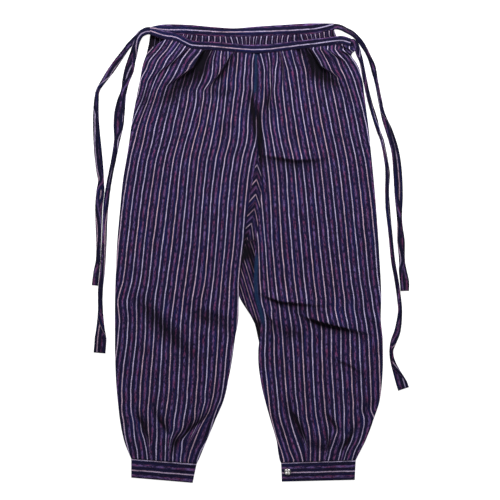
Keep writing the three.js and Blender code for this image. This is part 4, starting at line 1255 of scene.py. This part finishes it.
# %% A flat loop
def loop_section(width, height, count):
    """Points round a flat loop with round ends, evenly spaced, from the left end over the top."""
    radius = height / 2
    straight = width - height
    around = 2 * straight + 2 * math.pi * radius
    s = np.linspace(0, around, count, endpoint=False)
    half_turn = math.pi * radius
    x, z = np.zeros(count), np.zeros(count)
    top = s < straight
    x[top], z[top] = s[top] + radius, height
    right = (s >= straight) & (s < straight + half_turn)
    angle = (s[right] - straight) / radius
    x[right], z[right] = width - radius + radius * np.sin(angle), radius + radius * np.cos(angle)
    low = (s >= straight + half_turn) & (s < 2 * straight + half_turn)
    x[low], z[low] = width - radius - (s[low] - straight - half_turn), 0
    left = s >= 2 * straight + half_turn
    angle = (s[left] - 2 * straight - half_turn) / radius
    x[left], z[left] = radius - radius * np.sin(angle), radius - radius * np.cos(angle)
    return x / width, z, s


print("a loop 100 mm wide and 4 mm high, mm from each of 8 points to the next:",
      round(float(loop_section(100, 4, 8)[2][1]), 1))

# %% Cuffs
CUFF_THICK = 4.0
CUFF_WALL = 1.5
CUFF_ROUND = 220
CUFF_DOWN = 24
CUFF_HEM = 2.0  # from each edge to its row of stitches


def ringed(ids):
    """Closes rows of points into rings."""
    return np.concatenate([ids, ids[:, :1]], axis=1)


def cuff_cloth(name, corners, first_light, pitch):
    """A flattened ring of cloth with an outer and an inner wall."""
    t = np.linspace(0, 1, CUFF_DOWN + 1)[:, None]
    tl, tr, ll, lr = (np.array(corners[k], dtype=float)
                      for k in ("top_left", "top_right", "low_left", "low_right"))
    width = float(np.linalg.norm(tr - tl))
    depth = float(np.linalg.norm(ll - tl))
    layers = []
    for inset, height in ((0.0, CUFF_THICK), (CUFF_WALL, CUFF_THICK - 2 * CUFF_WALL)):
        across, z, s = loop_section(width - 2 * inset, height, CUFF_ROUND)
        across = (across * (width - 2 * inset) + inset) / width
        left, right = mix(tl, ll, t), mix(tr, lr, t)
        place = mix(left[:, None, :], right[:, None, :], across[None, :, None])
        bulge = 0.25 * np.sin(s / 4.3 + np.sin(s / 13)) * smooth(0.35, 0, t)
        hem = sum(-0.25 * np.exp(-((down * depth - CUFF_HEM) / 0.8) ** 2) for down in (t, 1 - t))
        edge = -0.5 * (1 - smooth(0, 0.04, np.minimum(t, 1 - t)))
        outside = 1 if inset == 0 else 0
        swell = (bulge + hem + edge) * (z / CUFF_THICK)[None, :] * outside
        high = np.broadcast_to(z[None, :] + inset, place.shape[:2]) + swell
        layers.append(np.concatenate([place, high[..., None]], axis=-1))
    rows, columns = layers[0].shape[:2]
    outer = np.arange(rows * columns).reshape(rows, columns)
    inner = outer + rows * columns
    faces = grid_faces(ringed(outer), False) + grid_faces(ringed(inner), True)
    for row, flip in ((0, False), (rows - 1, True)):
        faces += grid_faces(np.stack([ringed(outer)[row], ringed(inner)[row]]), flip)
    points = np.concatenate([layer.reshape(-1, 3) for layer in layers])
    stripe = np.broadcast_to((t * depth - first_light) / pitch, (rows, columns))
    uv = np.stack([stripe, np.broadcast_to(s[None, :] / PERIOD, (rows, columns))], axis=-1)
    uv = uv.reshape(-1, 2)
    # painted shade: a little all over, more along the lower edge and a little more along the upper
    low_edge = 0.12 + 0.35 * smooth(0.9, 1.0, t) + 0.2 * smooth(0.06, 0, t)
    shades = np.tile(np.broadcast_to(low_edge, (rows, columns)).ravel(), 2)
    piece = cloth_object(name, points, faces, np.concatenate([uv, uv]), shades)
    print(name, "round mm:", round(float(2 * width)), "deep mm:", round(depth))
    return piece, 2 * width, depth


cuff_right, round_right, deep_right = cuff_cloth(
    "cuff_right_cloth", CUFF_RIGHT, first_light=1.6, pitch=21.0)
cuff_left, round_left, deep_left = cuff_cloth(
    "cuff_left_cloth", CUFF_LEFT, first_light=1.2, pitch=19.4)

# %% [markdown]
# ## The snap
#
# The left cuff closes with a pressed metal snap. Its cap is stamped from thin sheet: a round
# skirt with a rolled edge and four petals pressed up round a small hollow. A lathe profile
# could turn the skirt, but not the petals. So a cylinder is bevelled into the skirt, one ring
# is the rolled edge and another the hollow's lip, and a petal is a flattened ball, placed four
# times. The parts are then joined.

# %% Steel for the snap
def steel_finish(name, low, high, rough, metal):
    steel = Nodes(name)
    steel.shader.inputs["Metallic"].default_value = metal
    where = steel.add("ShaderNodeTexCoord").outputs["Object"]
    scuff = steel.noise(where, scale=900.0, detail=4.0)
    steel.put(steel.shader.inputs["Base Color"], steel.blend(steel.step(0.35, 0.7, scuff), low, high))
    steel.put(steel.shader.inputs["Roughness"], steel.step(0.3, 0.7, scuff, rough, rough + 0.2))
    return steel.material


dull_steel = steel_finish("snap_steel_dull", colour(84, 80, 82), colour(140, 136, 136),
                          rough=0.4, metal=1.0)
# painted highlight: the petals get a lighter, less metallic copy of the cap's steel
painted_highlight_steel = steel_finish("snap_steel_painted_highlight", colour(214, 212, 210), colour(246, 244, 242),
                            rough=0.25, metal=0.6)
print("steels:", dull_steel.name, painted_highlight_steel.name)


# %% Parts of the cap
SNAP_AT = (74, -437)
SNAP_RADIUS = 6.8
SNAP_LOW = 4.3  # the cap's underside, on the cuff
SNAP_DISC = 1.1  # height of the skirt
SKIRT_INSET = 0.3  # of the skirt, inside the rolled edge
SKIRT_BEVEL = 0.35
ROLL_INSET = 0.55
EDGE_ROLL = 0.5
LIP_RADIUS = 0.9
LIP_ROLL = 0.35
PETALS = 4
PETAL_OUT = 3.7
PETAL_SIZE = (2.9, 2.2, 1.2)


def snap_place(up, out=0.0, angle=0.0):
    """A place in metres: over the cap's underside, and out from its middle at an angle."""
    x, y = SNAP_AT
    x += out * math.cos(angle)
    y += out * math.sin(angle)
    return (x * MM, y * MM, (SNAP_LOW + up) * MM)


def pressed(steel):
    """Gives the part just added its finish."""
    part = bpy.context.object
    part.data.materials.append(steel)
    return part


def rolled_ring(radius, roll, around, section, up):
    bpy.ops.mesh.primitive_torus_add(major_radius=radius * MM, minor_radius=roll * MM,
                                     major_segments=around, minor_segments=section,
                                     location=snap_place(up))
    return pressed(dull_steel)


def snap_parts():
    bpy.ops.object.select_all(action="DESELECT")
    bpy.ops.mesh.primitive_cylinder_add(vertices=48, radius=(SNAP_RADIUS - SKIRT_INSET) * MM,
                                        depth=SNAP_DISC * MM, location=snap_place(SNAP_DISC / 2))
    bpy.ops.object.mode_set(mode="EDIT")
    bpy.ops.mesh.select_all(action="SELECT")
    bpy.ops.mesh.bevel(offset=SKIRT_BEVEL * MM, segments=3, affect="EDGES")
    bpy.ops.object.mode_set(mode="OBJECT")
    parts = [pressed(dull_steel)]
    parts.append(rolled_ring(SNAP_RADIUS - ROLL_INSET, EDGE_ROLL, 48, 10, SNAP_DISC / 2))
    for k in range(PETALS):
        angle = math.pi / 4 + k * 2 * math.pi / PETALS
        bpy.ops.mesh.primitive_uv_sphere_add(segments=20, ring_count=12, radius=MM,
                                             location=snap_place(SNAP_DISC, PETAL_OUT, angle),
                                             rotation=(0, 0, angle))
        bpy.context.object.scale = PETAL_SIZE
        # the petals in the steel with the painted highlight
        parts.append(pressed(painted_highlight_steel))
    parts.append(rolled_ring(LIP_RADIUS, LIP_ROLL, 24, 8, SNAP_DISC))
    return parts


print("the cap is mm across:", 2 * (SNAP_RADIUS - ROLL_INSET + EDGE_ROLL))


# %% Join the cap
def joined(parts, name):
    """Joins parts into one piece, with its place in its mesh and its origin at the centre."""
    bpy.ops.object.select_all(action="DESELECT")
    for part in parts:
        part.select_set(True)
    bpy.context.view_layer.objects.active = parts[0]
    bpy.ops.object.transform_apply(location=True, rotation=True, scale=True)
    bpy.ops.object.join()
    piece = bpy.context.object
    piece.name = name
    bpy.context.scene.cursor.location = (0, 0, 0)
    bpy.ops.object.origin_set(type="ORIGIN_CURSOR")
    return piece


snap = joined(snap_parts(), "snap_cap_metal")
for polygon in snap.data.polygons:
    polygon.use_smooth = True
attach(snap, "root")
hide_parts("snap_cap")
print("snap triangles:", sum(len(p.vertices) - 2 for p in snap.data.polygons))

# %% [markdown]
# ## The sewing
#
# Running stitches in navy thread hold the bands, the cuffs and the centre seam. A machine sews
# them a set distance in from the folded edge, all of one length, each pulled a little into the
# cloth. One stitch is a short rod with tapered ends, repeated along a line. Each is set at the
# height that a ray from above finds on the cloth, so the row follows the puckers. A dashed
# line in the texture would be flat from the side.

# %% Stitches set along a line
STITCH_LONG = 2.3
STITCH_PITCH = 3.3
STITCH_RADIUS = 0.22
STITCH_SIDES = 6
STITCH_SINK = 0.35  # how far a stitch's ends dip, for each unit along it
STITCH_RINGS = ((-0.5, 0.3), (-0.3, 1.0), (0.3, 1.0), (0.5, 0.3))  # place along, share of radius


def surface_height(piece):
    """Gives the height of a piece's upper face over any place, by rays from above."""
    scene_state = bpy.context.evaluated_depsgraph_get()
    down = Vector((0, 0, -1))

    def height(x, y):
        above = Vector((x * MM, y * MM, 0.1))
        hit, spot, _, _ = piece.ray_cast(above, down, depsgraph=scene_state)
        return spot.z / MM if hit else None

    return height


def stitch_row(line, height):
    """Rings of points for stitches set end to end along a line of places."""
    line = np.array(line, dtype=float)
    run = np.concatenate([[0], np.cumsum(np.hypot(*np.diff(line, axis=0).T))])
    turns = np.arange(STITCH_SIDES) * 2 * math.pi / STITCH_SIDES
    stitches = []
    for middle in np.arange(STITCH_PITCH, run[-1] - STITCH_PITCH, STITCH_PITCH):
        place = np.array([np.interp(middle, run, line[:, k]) for k in (0, 1)])
        ahead = np.array([np.interp(middle + 1, run, line[:, k]) for k in (0, 1)])
        way = (ahead - place) / max(np.linalg.norm(ahead - place), 1e-6)
        beside = np.array([-way[1], way[0]])
        z = height(*place)
        if z is None:
            continue
        rings = []
        for along, share in STITCH_RINGS:
            sink = -STITCH_SINK * abs(along)
            for turn in turns:
                radius = STITCH_RADIUS * share
                flat = place + way * along * STITCH_LONG + beside * radius * math.cos(turn)
                rings.append((*flat, z + sink + radius * (0.5 + math.sin(turn))))
        stitches.append(rings)
    return stitches


print("stitches to 10 cm:", round(100 / STITCH_PITCH))

# %% Thread, and a mesh of stitches
thread = Nodes("navy_thread")
twist = thread.noise(thread.add("ShaderNodeTexCoord").outputs["Object"], scale=2500.0, detail=3.0)
thread.put(thread.shader.inputs["Base Color"],
           thread.blend(thread.step(0.35, 0.65, twist), colour(20, 19, 46), colour(44, 42, 76)))
thread.shader.inputs["Roughness"].default_value = 0.75
thread.shader.inputs["Specular IOR Level"].default_value = 0.15


def sewn(name, rows, piece):
    """Rows of stitches on a piece, as one mesh."""
    height = surface_height(piece)
    points, faces = [], []
    for line in rows:
        for rings in stitch_row(line, height):
            first = len(points)
            points += rings
            last = len(STITCH_RINGS) - 1
            for ring in range(last):
                start = first + ring * STITCH_SIDES
                for k in range(STITCH_SIDES):
                    a, b = start + k, start + (k + 1) % STITCH_SIDES
                    faces.append((a, b, b + STITCH_SIDES, a + STITCH_SIDES))
            faces.append(tuple(first + k for k in reversed(range(STITCH_SIDES))))
            faces.append(tuple(first + last * STITCH_SIDES + k for k in range(STITCH_SIDES)))
    mesh = bpy.data.meshes.new(name)
    mesh.from_pydata((np.array(points) * MM).tolist(), [], faces)
    mesh.polygons.foreach_set("use_smooth", np.ones(len(mesh.polygons), dtype=bool))
    row = bpy.data.objects.new(name, mesh)
    bpy.context.scene.collection.objects.link(row)
    row.data.materials.append(thread.material)
    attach(row, "root")
    print(name, "stitches:", len(points) // (STITCH_SIDES * len(STITCH_RINGS)))


# %% Sew the bands, the cuffs and the centre seam
TOP_INSET = 1.8  # from a band's folded edge to its row of stitches
CUFF_ROWS = (0.055, 0.945)  # shares of a cuff's depth


def band_line(band, from_edge, low):
    """A line along a band, a little in from its lower or its upper edge."""
    x = np.linspace(band["x"].min() + 2, band["x"].max() - 2, 120)
    middle, width = reader(band, "x", "y")(x), reader(band, "x", "width")(x)
    side = -1 if low else 1
    return list(zip(x, middle + side * (width / 2 - from_edge)))


def cuff_line(corners, down):
    """A line round a cuff's upper face, down from its top edge by a share of its depth."""
    sides = []
    for side in ("left", "right"):
        top, low = (np.array(corners[f"{end}_{side}"], dtype=float) for end in ("top", "low"))
        sides.append(mix(top, low, down))
    return [tuple(mix(sides[0], sides[1], share)) for share in np.linspace(0.015, 0.985, 40)]


def seam_line(edges, side, inset, top, bottom):
    """A line down a leg, a little in from a side edge."""
    y = np.linspace(top, bottom, 60)
    return list(zip(reader(edges, "y", side)(y) + inset, y))


for name, band, piece in (("front", BAND_FRONT, band_front), ("back", BAND_BACK, band_back)):
    rows = [band_line(band, HEM_INSET, low=True), band_line(band, TOP_INSET, low=False)]
    sewn(f"stitches_band_{name}", rows, piece)
for name, corners, piece in (("right", CUFF_RIGHT, cuff_right), ("left", CUFF_LEFT, cuff_left)):
    sewn(f"stitches_cuff_{name}", [cuff_line(corners, down) for down in CUFF_ROWS], piece)
centre_seam = seam_line(FRONT_RIGHT, "right", inset=-2.5, top=390, bottom=326)
sewn("stitches_seam", [centre_seam], front_right)

# %% [markdown]
#
# Each piece takes its cotton, hangs from the root, and hides the solid that it stands for.
# The lengths of the ties and the sizes of the cuffs are measured and printed where they are made,
# above.

# %% Say what each piece stands for
def dress(piece, node, material):
    piece.data.materials.append(material)
    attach(piece, "root")
    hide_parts(node)


floor_name = "floor"
dress(front_right, "leg_front_right", leg_cotton)
dress(front_left, "leg_front_left", leg_cotton)
dress(back_right, "leg_back_right", leg_cotton)
dress(back_left, "leg_back_left", leg_cotton)
dress(gusset_right, "gusset_right", gusset_cotton)
dress(gusset_left, "gusset_left", gusset_cotton)
dress(band_front, "waistband_front", band_cotton)
dress(band_back, "waistband_back", band_cotton)
for node, (piece, length) in ties.items():
    dress(piece, node, band_cotton)
dress(cuff_right, "cuff_right", band_cotton)
dress(cuff_left, "cuff_left", band_cotton)

# %% [markdown]
# ## Floor, light and camera
#
# The trousers lie on a pale, softly lit table, which keeps the page white round them. A broad
# light stands low beyond the waist, so the pleats and creases shade towards the feet, and a pale
# sky fills the rest. A light straight above would flatten them. The table glows a little,
# because a lit table alone stays greyer than white paper. The camera looks straight down,
# from far off, so the edges of the legs don't lean outwards.

# %% Floor, in metres
FLOOR_SIZE = 8.0
FLOOR_DROP = 0.0002  # keeps the table clear of the cloth's underside
bpy.ops.object.select_all(action="DESELECT")
bpy.ops.mesh.primitive_plane_add(size=FLOOR_SIZE, location=(0, 0, -FLOOR_DROP))
floor = bpy.context.object
floor.name = floor_name
paint = Nodes("pale_table")
paint.shader.inputs["Base Color"].default_value = (0.45, 0.45, 0.45, 1)
paint.shader.inputs["Roughness"].default_value = 0.9
paint.shader.inputs["Specular IOR Level"].default_value = 0.0
paint.shader.inputs["Emission Color"].default_value = (1, 1, 1, 1)
paint.shader.inputs["Emission Strength"].default_value = 0.9
floor.data.materials.append(paint.material)
print("floor, metres across:", FLOOR_SIZE)

# %% Light, in metres and watts
KEY_AT = (-0.15, 2.5, 1.4)
KEY_SIZE = 0.7
KEY_POWER = 118
FILL_AT = (0.9, -1.6, 2.4)
FILL_SIZE = 2.0
FILL_POWER = 6
SKY = 0.3


def area_light(name, place, size, power):
    """A square lamp that faces the middle of the trousers."""
    data = bpy.data.lights.new(name, "AREA")
    data.energy = power
    data.size = size
    lamp = bpy.data.objects.new(name, data)
    lamp.location = place
    lamp.rotation_euler = (Vector((0, 0, 0)) - Vector(place)).to_track_quat("-Z", "Y").to_euler()
    bpy.context.scene.collection.objects.link(lamp)


area_light("key", KEY_AT, KEY_SIZE, KEY_POWER)
area_light("fill", FILL_AT, FILL_SIZE, FILL_POWER)
world = bpy.data.worlds.new("studio")
world.use_nodes = True
sky = world.node_tree.nodes["Background"]
sky.inputs["Color"].default_value = (1, 1, 1, 1)
sky.inputs["Strength"].default_value = SKY
bpy.context.scene.world = world
bpy.context.scene.view_settings.view_transform = "Standard"
print("lights: key", KEY_POWER, "fill", FILL_POWER, "sky", SKY)

# %% Camera
VIEW_WIDE = 1.0  # metres of floor across the picture
VIEW_FROM = (-0.001, 0.006, 4.0)  # over the middle of the photo's frame
SENSOR = 36.0
camera_data = bpy.data.cameras.new("camera")
camera_data.sensor_width = SENSOR
camera_data.lens = SENSOR * VIEW_FROM[2] / VIEW_WIDE
camera = bpy.data.objects.new("camera", camera_data)
camera.location = VIEW_FROM
bpy.context.scene.collection.objects.link(camera)
bpy.context.scene.camera = camera
print("camera:", VIEW_FROM, "lens:", camera_data.lens)
